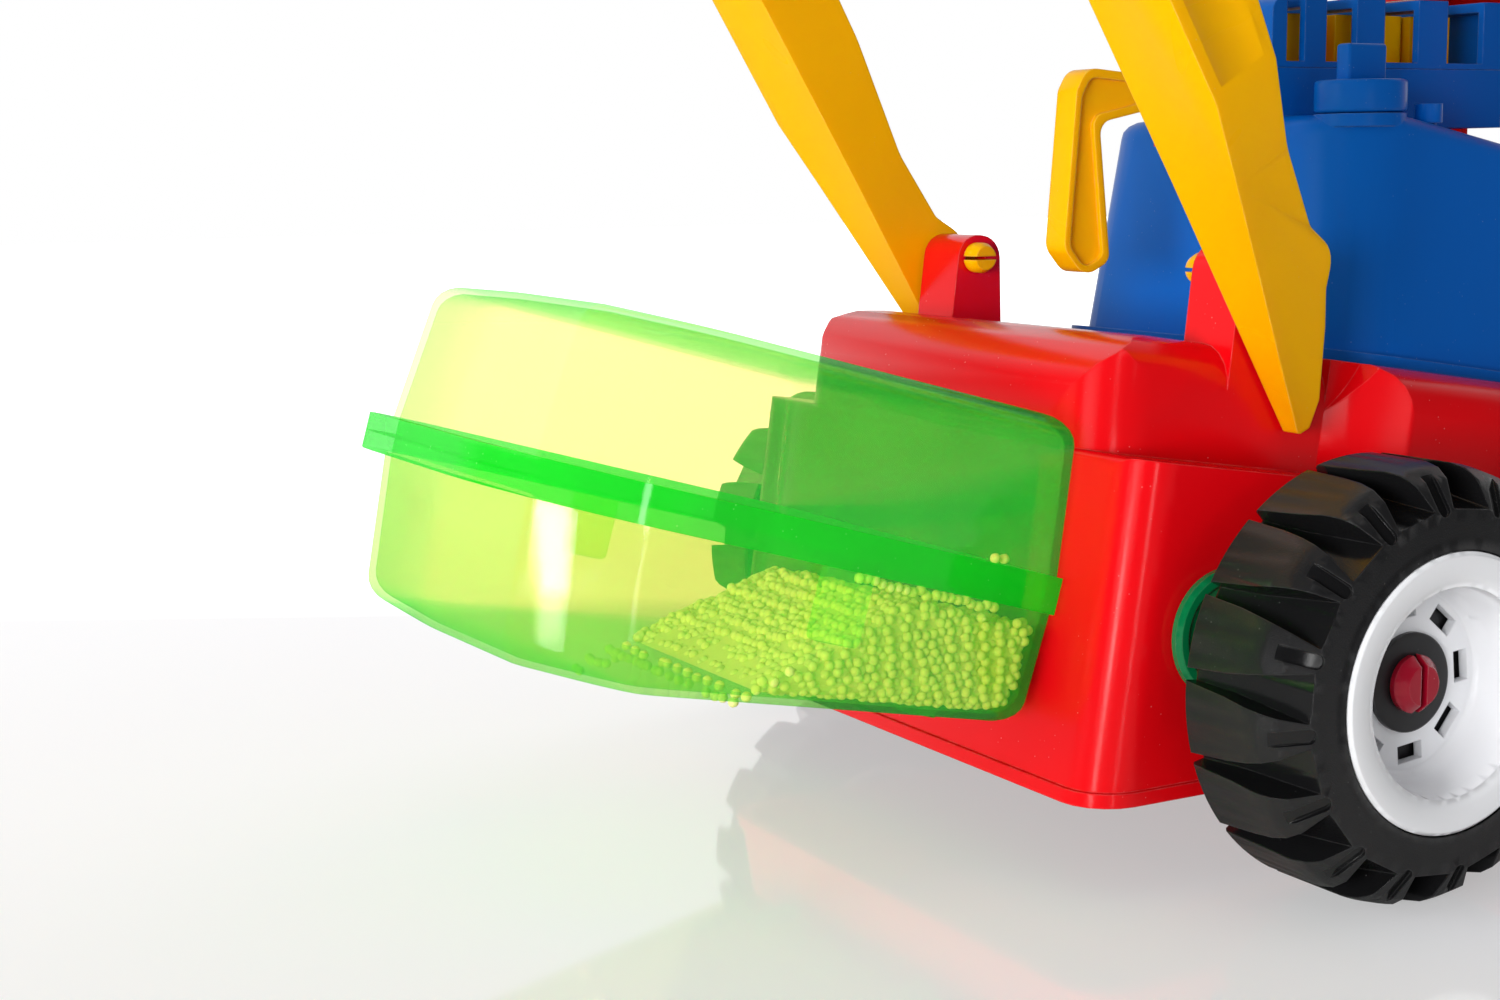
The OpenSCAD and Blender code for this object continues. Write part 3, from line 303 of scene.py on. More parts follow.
def clear_shell(name, tint, edge_tint, haze, edge_haze, rough=0.06):
    """Clear tinted plastic, by the face that light crosses: a tint that deepens where the wall is seen
    edge on, a milky haze that both sides light, and a shine. Its shadow has a paler tint of its own."""
    m, t = blank_material(name)
    place = add(t, "ShaderNodeTexCoord", -1500, 0).outputs["Object"]
    skin = place_group(t, "moulded_skin", -1200, 100, place, {"Depth": 0.1, "Swirl Scale": 22.0})
    specks = place_group(t, "dust_specks", -1200, -250, place, {"Amount": 0.5})
    relief = add(t, "ShaderNodeBump", -900, -450, {"Strength": 0.05, "Distance": 0.0008})
    t.links.new(skin.outputs["Height"], relief.inputs["Height"])
    across = add(t, "ShaderNodeLayerWeight", -900, 350, {"Blend": 0.5})
    t.links.new(relief.outputs[0], across.inputs["Normal"])
    grazing = math_node(t, "POWER", -700, 350, across.outputs["Facing"], 4.5)
    through = mix_colour(t, -500, 350, grazing, tuple(tint), tuple(edge_tint))
    shadow = add(t, "ShaderNodeLightPath", -700, 600).outputs["Is Shadow Ray"]
    through = mix_colour(t, -300, 350, shadow, through, SHADOW_TINT)
    veil = mix_colour(t, -500, 100, grazing, tuple(haze), tuple(edge_haze))
    veil = mix_colour(t, -300, 0, skin.outputs["Swirl"], veil, darker(haze, 0.1))
    veil = mix_colour(t, -100, 0, specks.outputs["Mask"], veil, (0.7, 0.75, 0.6))
    clear = add(t, "ShaderNodeBsdfTransparent", 100, 300)
    t.links.new(through, clear.inputs[0])
    near, far = add(t, "ShaderNodeBsdfDiffuse", 100, 50), add(t, "ShaderNodeBsdfTranslucent", 100, -100)
    milk = add(t, "ShaderNodeMixShader", 300, 0, {0: 0.5})
    for side, lit in enumerate((near, far)):
        t.links.new(veil, lit.inputs["Color"])
        t.links.new(lit.outputs[0], milk.inputs[side + 1])
    wall = add(t, "ShaderNodeAddShader", 500, 150)
    t.links.new(clear.outputs[0], wall.inputs[0])
    t.links.new(milk.outputs[0], wall.inputs[1])
    gloss = add(t, "ShaderNodeBsdfGlossy", 300, -250, {"Color": (1, 1, 1, 1), "Roughness": rough})
    t.links.new(relief.outputs[0], gloss.inputs["Normal"])
    slant = math_node(t, "POWER", 100, 500, across.outputs["Facing"], 4.0)
    shine = math_node(t, "MULTIPLY_ADD", 300, 450, slant, 0.12)
    shine.node.inputs[2].default_value = 0.035
    both = add(t, "ShaderNodeMixShader", 700, 100)
    t.links.new(shine, both.inputs[0])
    t.links.new(wall.outputs[0], both.inputs[1])
    t.links.new(gloss.outputs[0], both.inputs[2])
    t.links.new(both.outputs[0], add(t, "ShaderNodeOutputMaterial", 900, 100).inputs[0])
    return m


# Help for meshes --------------------------------------------------------------------------

def deselect_all():
    if bpy.context.object and bpy.context.object.mode != "OBJECT":
        bpy.ops.object.mode_set(mode="OBJECT")
    bpy.ops.object.select_all(action="DESELECT")


def make_active(obj):
    deselect_all()
    obj.select_set(True)
    bpy.context.view_layer.objects.active = obj


def wear_material(obj, material):
    obj.data.materials.clear()
    obj.data.materials.append(material)


def body_of_node(node):
    for body, nodes in frame["record"]["behaviour"]["bodies"].items():
        if node in nodes:
            return body
    raise RuntimeError(f"{node} is in no body")


# Carried-over pieces that a step of their own replaces
LEFT_TO_OTHERS = ("container_upper", "container_lower", "bead_fill", "filler_cap")
CASE_AT = Vector((0, -44.23 * MM, 80.3 * MM))      # rear end of the container's flange
CASE_TILT = math.radians(16.2)
FLANGE_HALF = 5.35 * MM                             # half the height of the flange, with a little to spare
CRISP_FROM = math.radians(32)                       # faces that turn by more than this keep a crisp edge


def on_case(p):
    """A place in the container's own frame: X across, -Y towards its nose, Z square to its flange."""
    return Matrix.Rotation(CASE_TILT, 3, "X") @ (p - CASE_AT)


def turn_from_case(v):
    return Matrix.Rotation(-CASE_TILT, 3, "X") @ Vector(v)


def from_case(p):
    return turn_from_case(p) + CASE_AT


# Planes that cut the top of the heap of beads, in the container's frame: a place and the way it looks
HEAP_CUTS = (
    ((0, 0, -0.0130), Vector((-0.05, 0, 1)).normalized()),
    ((-0.0334, -0.0646, -0.0419), Vector((-0.45, -0.67, 1)).normalized()),
)


def heap_level(p):
    """How far a place stands over the top of the heap, and the way that the top looks there."""
    q = on_case(p)
    levels = [((q - Vector(at)).dot(normal), turn_from_case(normal)) for at, normal in HEAP_CUTS]
    level, normal = max(levels, key=lambda pair: pair[0])
    return level + 0.0012 * noise.noise(p * 90), normal


def copy_of(node, name):
    """A copy of a carried-over piece with its loose triangles merged."""
    make_active(frame["nodes"][node])
    bpy.ops.object.duplicate()
    piece = bpy.context.object
    piece.name = name
    piece.parent = None
    bpy.ops.object.mode_set(mode="EDIT")
    bpy.ops.mesh.select_all(action="SELECT")
    bpy.ops.mesh.remove_doubles(threshold=0.00002)
    bpy.ops.object.mode_set(mode="OBJECT")
    return piece


def smooth_form(piece, sharp_from):
    """Shades a moulded form smooth, with a crisp edge wherever its faces turn by more than sharp_from."""
    make_active(piece)
    bpy.ops.object.mode_set(mode="EDIT")
    bpy.ops.mesh.select_all(action="SELECT")
    bpy.ops.mesh.faces_shade_smooth()
    bpy.ops.mesh.select_all(action="DESELECT")
    bpy.ops.mesh.select_mode(type="EDGE")
    bpy.ops.mesh.edges_select_sharp(sharpness=sharp_from)
    bpy.ops.mesh.mark_sharp()
    bpy.ops.mesh.select_all(action="DESELECT")
    bpy.ops.object.mode_set(mode="OBJECT")


def round_edges(piece, width, segments, from_angle):
    """Rounds the moulded edges of a piece with a bevel that is applied."""
    make_active(piece)
    bevel = piece.modifiers.new("rounding", "BEVEL")
    bevel.width, bevel.segments = width, segments
    bevel.limit_method, bevel.angle_limit = "ANGLE", from_angle
    bevel.use_clamp_overlap = True
    bpy.ops.object.modifier_apply(modifier=bevel.name)


def fill_field(piece, depth):
    """Brings the shallow field in an arm's outer face out level with its rim."""
    outside = max(abs(v.co.x) for v in piece.data.vertices)
    make_active(piece)
    bpy.ops.object.mode_set(mode="EDIT")
    bpy.ops.mesh.select_all(action="DESELECT")
    bpy.ops.object.mode_set(mode="OBJECT")
    side = 1 if sum(v.co.x for v in piece.data.vertices) > 0 else -1
    for v in piece.data.vertices:
        v.select = abs(abs(v.co.x) - outside + depth) < 0.05 * MM
    bpy.ops.object.mode_set(mode="EDIT")
    bpy.ops.transform.translate(value=(side * depth, 0, 0))
    bpy.ops.mesh.select_all(action="SELECT")
    bpy.ops.mesh.dissolve_limited(angle_limit=math.radians(0.4))
    bpy.ops.object.mode_set(mode="OBJECT")


# Outline of the uncut tyre from its inner edge outwards, in mm: distance along the axle, and radius
TREAD = ((0, 60), (23, 60), (28, 59.1), (32, 56.6), (36.4, 49), (37.4, 38.4))
GROOVE_FROM = 0.7                                   # mm under that outline from which it counts as a groove
WALL_FROM = 40                                      # mm of radius at which the side wall begins


def tread_radius(along):
    """Radius of the uncut tyre at a distance from its inner edge, in millimetres."""
    for (a, ra), (b, rb) in zip(TREAD, TREAD[1:]):
        if along <= b:
            return ra + (rb - ra) * (along - a) / (b - a)
    return 0


def polish_grooves(piece):
    """Gives the smooth floors and walls of a tyre's grooves a shinier rubber than its lugs."""
    lo, hi = (Vector(v) for v in piece_box(piece))
    middle = (lo + hi) / 2
    inner = min(abs(lo.x), abs(hi.x))
    piece.data.materials.append(bpy.data.materials["tyre_groove"])
    for face in piece.data.polygons:
        at = face.center
        along = (abs(at.x) - inner) / MM
        radius = math.hypot(at.y - middle.y, at.z - middle.z) / MM
        if tread_radius(along) - radius > GROOVE_FROM and radius > WALL_FROM:
            face.material_index = 1


def piece_box(piece):
    places = [v.co for v in piece.data.vertices]
    return [[f(p[i] for p in places) for i in range(3)] for f in (min, max)]


def dress(node, material):
    """Gives a carried-over piece its finish."""
    for s in frame["nodes"][node].material_slots:
        s.material = material


# Pieces -----------------------------------------------------------------------------------

class LOADER_OT_finishes(bpy.types.Operator):
    """Makes the finishes and puts them on the moulded pieces"""
    bl_idname = "loader.finishes"
    bl_label = "Finishes"

    def execute(self, context):
        c = context.scene.loader_colours
        # the red is painted darker, to 1 percent, where it is seen through the clear container
        red = moulded("red_shell", c.red, rough=0.16, dust=0.4, swirl=0.05, specular=0.3, through=0.01)
        yellow = moulded("yellow_arms", c.yellow, rough=0.27, swirl=0.03, specular=0.10, glow=0.35)
        blue = moulded("blue_hood", c.blue, rough=0.3, swirl=0.05, specular=0.18)
        rubber = moulded("tyre_tread", c.rubber, rough=0.34, grain=0.8, bump=0.25, sheen=0.08, dust=0.2)
        moulded("tyre_groove", darker(c.rubber, 0.4), rough=0.13, grain=0.3, bump=0.05, sheen=0.05, dust=0.1)
        white = moulded("white_rim", c.white, rough=0.16, coat=0.2, swirl=0.03)
        black = moulded("black_moulding", c.black, rough=0.3)
        dark_red = moulded("dark_red_axle", c.dark_red, rough=0.18, coat=0.2)
        green = moulded("green_pin", c.green, rough=0.2, coat=0.2)
        screws = moulded("zinc_screw", c.steel, rough=0.3)
        clear_shell("clear_green", c.clear, (0.34, 0.72, 0.34), (0.007, 0.215, 0.025), (0.02, 0.24, 0.05))
        clear = clear_shell(
            "clear_green_lower", [v * w for v, w in zip(c.clear, (0.88, 0.92, 0.78))],
            (0.30, 0.70, 0.28), (0.007, 0.215, 0.02), (0.02, 0.24, 0.05))
        catches = clear_shell(
            "clear_catches", (0.86, 0.95, 0.66), (0.30, 0.70, 0.28), (0.01, 0.12, 0.02), (0.02, 0.24, 0.05))
        beads = moulded("bead_plastic", c.beads, rough=0.3, glow=0.4, sheen=0.0, dust=0.0, edge=0.0)
        looks = [
            (("chassis", "cab_frame", "lever_bracket", "lever_pin"), red),
            (("hood", "engine_cage", "filler", "breather"), blue),
            (("tyre",), rubber), (("rim",), white),
            (("washer", "seat", "steering"), black),
            (("front_axle", "rear_axle"), dark_red),
            (("container_pin", "container_bracket"), green),
            (("container_upper", "container_lower"), clear), (("container_catches",), catches),
            (("deck_screws",), screws), (("bead_fill",), beads),
        ]
        for name in frame["nodes"]:
            dress(name, next((m for starts, m in looks if name.startswith(starts)), yellow))
        return {"FINISHED"}


class LOADER_OT_mouldings(bpy.types.Operator):
    """Makes the curved mouldings smooth, and rounds the edges of the arms and the lever"""
    bl_idname = "loader.mouldings"
    bl_label = "Mouldings"

    def execute(self, context):
        size = context.scene.loader_sizes
        for node in frame["nodes"]:
            if node in LEFT_TO_OTHERS:
                continue
            piece = copy_of(node, node + "_moulding")
            if node == "crank_lever":
                round_edges(piece, size.lever_edge, 4, math.radians(40))
            elif node in ("arm_left", "arm_right"):
                fill_field(piece, size.arm_field)
                round_edges(piece, size.arm_edge, 2, math.radians(50))
            elif node.startswith("tyre"):
                polish_grooves(piece)
            smooth_form(piece, CRISP_FROM)
            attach(piece, body_of_node(node))
            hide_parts(node)
        return {"FINISHED"}


class LOADER_OT_tyre_webs(bpy.types.Operator):
    """Turns the black web of a tyre, seen through the windows of its rim, once for each wheel"""
    bl_idname = "loader.tyre_webs"
    bl_label = "Tyre webs"

    def execute(self, context):
        hub, barrel, depth, behind = 9.4 * MM, 30.8 * MM, 1.6 * MM, 15.2 * MM
        for name in ("front_left", "front_right", "rear_left", "rear_right"):
            lo, hi = (Vector(v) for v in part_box("tyre_" + name))
            side = 1 if lo.x > 0 else -1
            inner = min(abs(lo.x), abs(hi.x))
            deselect_all()
            bpy.ops.mesh.primitive_circle_add(
                vertices=64, radius=barrel, rotation=(0, math.pi / 2, 0),
                location=(side * (inner + behind), (lo.y + hi.y) / 2, (lo.z + hi.z) / 2))
            web = context.object
            web.name = "tyre_web_" + name
            bpy.ops.object.transform_apply(location=False, rotation=True)
            bpy.ops.object.mode_set(mode="EDIT")
            bpy.ops.mesh.select_all(action="SELECT")
            bpy.ops.mesh.extrude_edges_move()
            bpy.ops.transform.resize(value=(1, hub / barrel, hub / barrel))
            bpy.ops.object.mode_set(mode="OBJECT")
            bpy.ops.object.transform_apply(location=True)
            wall = web.modifiers.new("wall", "SOLIDIFY")
            wall.thickness, wall.offset = depth, 0
            bpy.ops.object.modifier_apply(modifier=wall.name)
            wear_material(web, bpy.data.materials["tyre_tread"])
            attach(web, "wheel_" + name)
        return {"FINISHED"}


class LOADER_OT_filler_cap(bpy.types.Operator):
    """Moulds the filler cap: a plain disc on its stem, with a bar to turn it by"""
    bl_idname = "loader.filler_cap"
    bl_label = "Filler cap"

    def execute(self, context):
        lo, hi = (Vector(v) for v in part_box("filler_cap"))
        middle, radius, foot = (lo + hi) / 2, (hi.x - lo.x) / 2, hi.z - 21 * MM
        deselect_all()
        bpy.ops.mesh.primitive_cylinder_add(
            vertices=64, radius=radius, depth=10 * MM, location=(middle.x, middle.y, foot + 5 * MM))
        cap = context.object
        cap.name = "filler_cap_moulding"
        bpy.ops.object.mode_set(mode="EDIT")
        bpy.ops.mesh.select_all(action="DESELECT")
        bpy.ops.mesh.primitive_cylinder_add(
            vertices=32, radius=radius * 0.45, depth=foot - lo.z + 1 * MM,
            location=(middle.x, middle.y, (foot + lo.z + 1 * MM) / 2))
        bpy.ops.mesh.select_all(action="DESELECT")
        bpy.ops.mesh.primitive_cube_add(size=1, location=(middle.x, middle.y, hi.z - 6 * MM))
        bpy.ops.transform.resize(value=(6 * MM, 16 * MM, 12 * MM))
        bpy.ops.object.mode_set(mode="OBJECT")
        bpy.ops.object.transform_apply(location=True, rotation=True, scale=True)
        round_edges(cap, context.scene.loader_sizes.cap_edge, 3, math.radians(40))
        smooth_form(cap, CRISP_FROM)
        wear_material(cap, bpy.data.materials["blue_hood"])
        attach(cap, "cap")
        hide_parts("filler_cap")
        return {"FINISHED"}


class LOADER_OT_container(bpy.types.Operator):
    """Gives the two clear shells a denser flange"""
    bl_idname = "loader.container"
    bl_label = "Container"

    def execute(self, context):
        thick = clear_shell(
            "thick_green", (0.30, 0.50, 0.30), (0.20, 0.50, 0.20), (0.008, 0.43, 0.02), (0.015, 0.46, 0.03))
        for node in ("container_upper", "container_lower"):
            piece = copy_of(node, node + "_shell")
            if node == "container_upper":
                wear_material(piece, bpy.data.materials["clear_green"])
            piece.data.materials.append(thick)
            for face in piece.data.polygons:
                heights = [on_case(piece.data.vertices[v].co).z for v in face.vertices]
                if max(abs(h) for h in heights) < FLANGE_HALF:
                    face.material_index = 1
            smooth_form(piece, CRISP_FROM)
            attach(piece, "body")
            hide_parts(node)
        return {"FINISHED"}


# Close packing of balls, as shares of their spacing: between rows, between layers, and a layer's shift
ROW, LAYER, SHIFT = 0.866, 0.816, 0.578
ON_TOP = 0.6                                        # upward part of a normal from which the skin is the top
CORE_DEPTH = 0.8                                    # depth of the core under the skin, in beads


def lay_core(bead, material):
    """The plain core of the heap, under its skin and under the cuts of its top."""
    core = copy_of("bead_fill", "bead_core")
    bpy.ops.object.mode_set(mode="EDIT")
    bpy.ops.mesh.select_all(action="SELECT")
    bpy.ops.mesh.normals_make_consistent(inside=False)
    bpy.ops.transform.shrink_fatten(value=-CORE_DEPTH * bead)
    bpy.ops.object.mode_set(mode="OBJECT")
    wear_material(core, material)
    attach(core, "body")
    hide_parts("bead_fill")
    for at, normal in HEAP_CUTS:
        place = from_case(Vector(at) - Vector(normal) * CORE_DEPTH * bead)
        make_active(core)
        bpy.ops.object.mode_set(mode="EDIT")
        bpy.ops.mesh.select_all(action="SELECT")
        bpy.ops.mesh.bisect(
            plane_co=place, plane_no=turn_from_case(normal), use_fill=True, clear_outer=True)
        bpy.ops.object.mode_set(mode="OBJECT")


def one_bead(bead):
    """Places of the corners of one bead, and the corners of each face."""
    deselect_all()
    bpy.ops.mesh.primitive_uv_sphere_add(segments=8, ring_count=6, radius=bead / 2, location=(0, 0, 0))
    one = bpy.context.object
    verts = [v.co.copy() for v in one.data.vertices]
    faces = [tuple(p.vertices) for p in one.data.polygons]
    bpy.data.objects.remove(one)
    return verts, faces


def seat_bead(p, bead, layer, skin, dice):
    """The place where a bead of the packing comes to lie, or None where it isn't seen or stands out."""
    near, normal, _, d = skin.find_nearest(p)
    level, cut = heap_level(p)
    if level > 0 or (p - near).dot(normal) > 0:
        return None
    if -level < d:
        near, normal, d = p - level * cut, cut, -level
    if d > layer:
        return None
    if d < bead * 0.5:
        # it would break the skin: at the sides it is set back or left out, on the top most stay as they are
        if normal.z < ON_TOP or dice.random() < 0.4:
            p = near - normal * bead * 0.52
        if normal.z < ON_TOP and d < bead * 0.12:
            return None
    wall, out, _, d = skin.find_nearest(p)
    return p if (p - wall).dot(out) < 0 and d > bead * 0.3 else None


def bead_places(size, skin, dice):
    """Places of the beads just under the skin of the heap: a close packing, shaken a little."""
    lo, hi = (Vector(v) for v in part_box("bead_fill"))
    pitch = size.bead * 1.02
    nz = int((hi.z - lo.z) / (pitch * LAYER)) + 2
    ny = int((hi.y - lo.y) / (pitch * ROW)) + 2
    nx = int((hi.x - lo.x) / pitch) + 2
    places = []
    for k in range(-1, nz):
        for j in range(-1, ny):
            for i in range(-1, nx):
                p = Vector((
                    lo.x + pitch * (i + 0.5 * ((j + k) % 2)),
                    lo.y + pitch * (ROW * j + SHIFT * (k % 2)),
                    lo.z + pitch * LAYER * k))
                p += Vector([dice.uniform(-0.16, 0.16) * size.bead for _ in range(3)])
                places.append(seat_bead(p, size.bead, size.bead_layer, skin, dice))
    return [p for p in places if p is not None]


def caught_beads(dice):
    """Places of the beads caught on the ledge under the near flange, and of two above it."""
    places = []
    for i in range(19):
        beside, over = 0.0746 - dice.uniform(0, 0.0008), -0.0069 + dice.uniform(-0.0008, 0.0006)
        places.append(from_case(Vector((beside, -0.062 + 0.0025 * i, over))))
    return places + [from_case(Vector(v)) for v in ((0.0715, -0.0155, 0.0068), (0.0722, -0.0190, 0.0064))]


class LOADER_OT_beads(bpy.types.Operator):
    """Packs beads under the skin of the heap in the container, over a plain core"""
    bl_idname = "loader.beads"
    bl_label = "Beads"

    def execute(self, context):
        size = context.scene.loader_sizes
        material = bpy.data.materials["bead_plastic"]
        skin = BVHTree.FromObject(frame["nodes"]["bead_fill"], context.evaluated_depsgraph_get())
        lay_core(size.bead, material)
        verts, faces = one_bead(size.bead)
        dice = random.Random(7)
        places = bead_places(size, skin, dice) + caught_beads(dice)
        batch = 2200                                # beads in one piece
        for n in range(0, len(places), batch):
            mesh = bpy.data.meshes.new(f"beads_{n // batch + 1}")
            all_verts, all_faces = [], []
            for p in places[n:n + batch]:
                base = len(all_verts)
                turn, axis = dice.uniform(0, 6.28), Vector((dice.random(), dice.random(), 1))
                spin = Matrix.Rotation(turn, 3, axis)
                all_verts += [p + spin @ v for v in verts]
                all_faces += [tuple(base + v for v in f) for f in faces]
            mesh.from_pydata(all_verts, [], all_faces)
            mesh.update()
            for polygon in mesh.polygons:
                polygon.use_smooth = True
            obj = bpy.data.objects.new(mesh.name, mesh)
            context.scene.collection.objects.link(obj)
            wear_material(obj, material)
            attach(obj, "body")
        return {"FINISHED"}


# Studio -----------------------------------------------------------------------------------

AWAY = (-0.8775, 0.4796, 0)                         # level way past the loader, as the camera looks
WHITE = (1, 1, 1, 1)


def floor_material():
    """Glossy pale floor with faint clouds, lit up to plain white behind the loader and far round it."""
    m, t = blank_material("white_gloss_floor")
    place = add(t, "ShaderNodeTexCoord", -1300, 0).outputs["Object"]
    away = add(t, "ShaderNodeVectorMath", -1100, -100, {1: AWAY}, operation="DOT_PRODUCT")
    t.links.new(place, away.inputs[0])
    behind = add(t, "ShaderNodeMapRange", -900, -100, {"From Min": 0.285, "From Max": 0.325}, clamp=True)
    t.links.new(away.outputs["Value"], behind.inputs["Value"])
    cloud = add(t, "ShaderNodeTexNoise", -900, -350, {"Scale": 2.2, "Detail": 1.0})
    t.links.new(place, cloud.inputs["Vector"])
    path = add(t, "ShaderNodeLightPath", -900, 400)
    near_tone = mix_colour(t, -600, -250, cloud.outputs["Fac"], (0.64, 0.63, 0.67), (0.69, 0.685, 0.71))
    tone = mix_colour(t, -400, -100, path.outputs["Is Camera Ray"], (0.95, 0.95, 0.95), near_tone)
    reach = add(t, "ShaderNodeVectorMath", -1100, -550, operation="LENGTH")
    t.links.new(place, reach.inputs[0])
    round_it = add(t, "ShaderNodeMapRange", -900, -550, {"From Min": 0.62, "From Max": 1.0}, clamp=True)
    t.links.new(reach.outputs["Value"], round_it.inputs["Value"])
    white = math_node(t, "MAXIMUM", -750, 50, behind.outputs[0], round_it.outputs[0])
    lift = math_node(t, "MULTIPLY_ADD", -600, 150, white, 0.5)
    lift.node.inputs[2].default_value = 0.40
    lift = math_node(t, "MULTIPLY", -400, 150, lift, path.outputs["Is Camera Ray"])
    shader = add(t, "ShaderNodeBsdfPrincipled", 0, 0, {"Roughness": 0.06, "IOR": 1.45})
    glow = add(t, "ShaderNodeEmission", 0, 300)
    both = add(t, "ShaderNodeAddShader", 250, 100)
    t.links.new(lift, glow.inputs["Strength"])
    t.links.new(tone, shader.inputs["Base Color"])
    t.links.new(shader.outputs[0], both.inputs[0])
    t.links.new(glow.outputs[0], both.inputs[1])
    t.links.new(both.outputs[0], add(t, "ShaderNodeOutputMaterial", 450, 0).inputs[0])
    return m


def lay_floor():
    deselect_all()
    bpy.ops.mesh.primitive_plane_add(size=1, location=(0, 0, 0))
    floor = bpy.context.object
    floor.name = "floor"
    bpy.ops.object.mode_set(mode="EDIT")
    bpy.ops.transform.resize(value=(12, 12, 1))
    bpy.ops.object.mode_set(mode="OBJECT")
    wear_material(floor, floor_material())


def white_studio():
    """Surroundings that are white to the camera and through clear pieces, and a soft sky as light. Gloss
    sees a white backdrop behind the loader and a dim room on the near side."""
    world = bpy.data.worlds.new("white_studio")
    world.use_nodes = True
    w = world.node_tree
    w.nodes.clear()
    path = add(w, "ShaderNodeLightPath", -600, 200)
    seen = math_node(
        w, "MAXIMUM", -300, 200, path.outputs["Is Camera Ray"], path.outputs["Is Transmission Ray"])
    way = add(w, "ShaderNodeTexCoord", -1100, -200)
    back = add(w, "ShaderNodeVectorMath", -900, -200, {1: (-0.88, 0.47, -0.05)}, operation="DOT_PRODUCT")
    w.links.new(way.outputs["Generated"], back.inputs[0])
    room = ramp(w, -700, -200, back.outputs["Value"], [(0.1, 0.03), (0.55, 1.0)])
    split = add(w, "ShaderNodeSeparateXYZ", -900, -450)
    w.links.new(way.outputs["Generated"], split.inputs[0])
    sky = ramp(w, -700, -450, split.outputs["Z"], [(0.1, 0.36), (0.9, 0.20)])
    bright = add(w, "ShaderNodeMix", -350, -100, data_type="FLOAT")
    w.links.new(sky, bright.inputs[2])
    w.links.new(path.outputs["Is Glossy Ray"], bright.inputs[0])
    w.links.new(room, bright.inputs[3])
    light = add(w, "ShaderNodeBackground", -100, 0, {"Color": WHITE})
    w.links.new(bright.outputs[0], light.inputs["Strength"])
    white = add(w, "ShaderNodeBackground", -100, -200, {"Color": WHITE, "Strength": 1.0})
    both = add(w, "ShaderNodeMixShader", 200, 0)
    w.links.new(seen, both.inputs[0])
    w.links.new(light.outputs[0], both.inputs[1])
    w.links.new(white.outputs[0], both.inputs[2])
    w.links.new(both.outputs[0], add(w, "ShaderNodeOutputWorld", 400, 0).inputs[0])
    return world


def lamp(name, place, aim, size, power, tall=None, in_gloss=True):
    """A softbox of a width and height in metres and a power in watts, aimed at a place."""
    data = bpy.data.lights.new(name, "AREA")
    data.shape = "RECTANGLE"
    data.size, data.size_y = size, tall or size
    data.energy = power
    obj = bpy.data.objects.new(name, data)
    bpy.context.scene.collection.objects.link(obj)
    obj.location = place
    obj.rotation_mode = "QUATERNION"
    obj.rotation_quaternion = (Vector(aim) - Vector(place)).to_track_quat("-Z", "Y")
    obj.visible_glossy = in_gloss
    obj.visible_camera = False


def low_camera():
    """The camera, low in front of the loader's left."""
    data = bpy.data.cameras.new("camera")
    data.sensor_width = 36
    data.lens = 52.62
    data.clip_start, data.clip_end = 0.01, 50
    cam = bpy.data.objects.new("camera", data)
    bpy.context.scene.collection.objects.link(cam)
    forward = Vector((-0.8676, 0.4742, -0.1504)).normalized()
    right = forward.cross(Vector((-0.1260, 0.0832, 0.9888))).normalized()
    up = right.cross(forward)
    cam.matrix_world = Matrix.Translation((0.56127, -0.40470, 0.19921)) @ Matrix(
        (right, up, -forward)).transposed().to_4x4()
    return cam


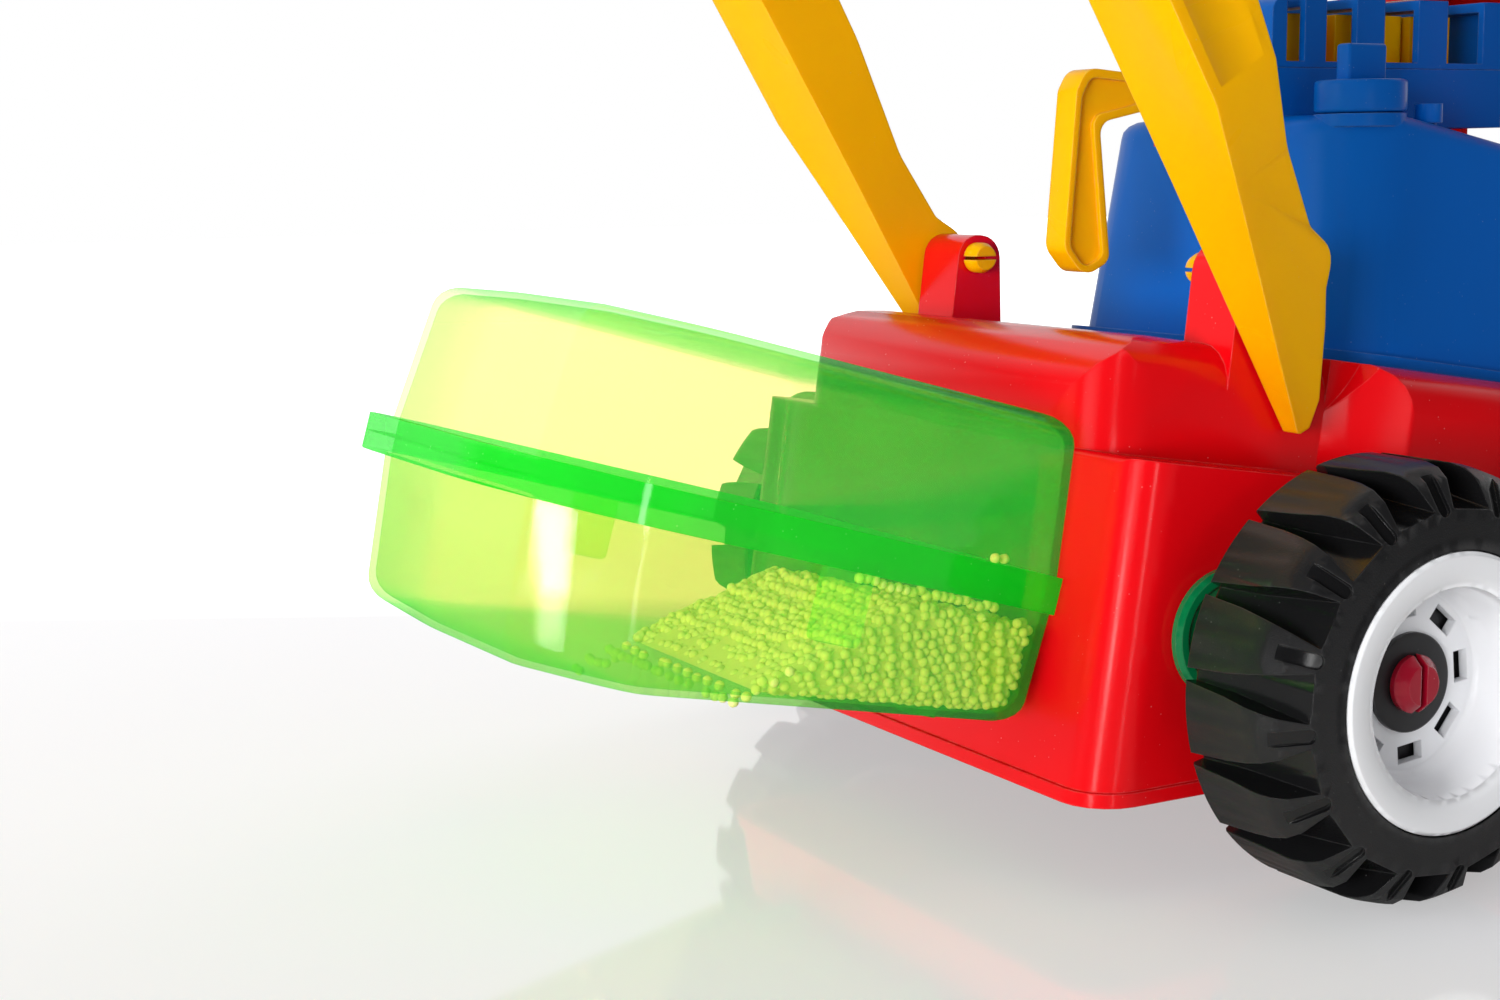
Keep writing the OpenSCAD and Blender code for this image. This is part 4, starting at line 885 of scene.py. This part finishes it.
class LOADER_OT_stage(bpy.types.Operator):
    """Sets the floor, the lamps, the surroundings and the camera"""
    bl_idname = "loader.stage"
    bl_label = "Studio"

    def execute(self, context):
        lay_floor()
        context.scene.world = white_studio()
        lamp("top_softbox", (0.1, -0.3, 1.7), (0, 0, 0.1), 1.2, 2)
        lamp("front_softbox", (0.90, -1.75, 0.26), (0, 0, 0.14), 1.1, 30, 0.46, in_gloss=False)
        lamp("left_softbox", (-0.55, -1.7, 0.50), (0, 0.05, 0.15), 0.8, 9, in_gloss=False)
        lamp("back_softbox", (-0.7, 1.7, 0.8), (0, 0.1, 0.15), 0.9, 8, in_gloss=False)
        lamp("low_strip", (0.66, -1.23, 0.09), (0.06, -0.19, 0.09), 0.09, 1.0, 0.20)
        lamp("side_strip", (1.6, -0.5, 0.17), (0.15, -0.02, 0.07), 0.10, 0.7, 0.30)
        lamp("side_softbox", (1.7, 0.5, 0.8), (0, 0.05, 0.12), 0.4, 1.2, in_gloss=False)
        context.scene.camera = low_camera()
        context.scene.view_settings.view_transform = "Standard"
        return {"FINISHED"}


# The loader -------------------------------------------------------------------------------

class LOADER_PT_panel(bpy.types.Panel):
    """The steps that dress the loader"""
    bl_idname = "LOADER_PT_panel"
    bl_label = "Toy Wheel Loader"
    bl_space_type = "VIEW_3D"
    bl_region_type = "UI"
    bl_category = "Loader"

    def draw(self, context):
        for group in (context.scene.loader_colours, context.scene.loader_sizes):
            for key in group.__annotations__:
                self.layout.prop(group, key)
        for step in STEPS:
            self.layout.operator(step.bl_idname)


STEPS = (
    LOADER_OT_finishes, LOADER_OT_mouldings, LOADER_OT_tyre_webs, LOADER_OT_filler_cap, LOADER_OT_container,
    LOADER_OT_beads, LOADER_OT_stage,
)
CLASSES = (LoaderColours, LoaderSizes, *STEPS, LOADER_PT_panel)


def register():
    for c in CLASSES:
        bpy.utils.register_class(c)
    bpy.types.Scene.loader_colours = bpy.props.PointerProperty(type=LoaderColours)
    bpy.types.Scene.loader_sizes = bpy.props.PointerProperty(type=LoaderSizes)


def unregister():
    del bpy.types.Scene.loader_sizes
    del bpy.types.Scene.loader_colours
    for c in reversed(CLASSES):
        bpy.utils.unregister_class(c)


def main():
    register()
    for step in STEPS:
        area, name = step.bl_idname.split(".")
        getattr(getattr(bpy.ops, area), name)()
    bpy.context.view_layer.update()


if __name__ == "__main__":
    main()
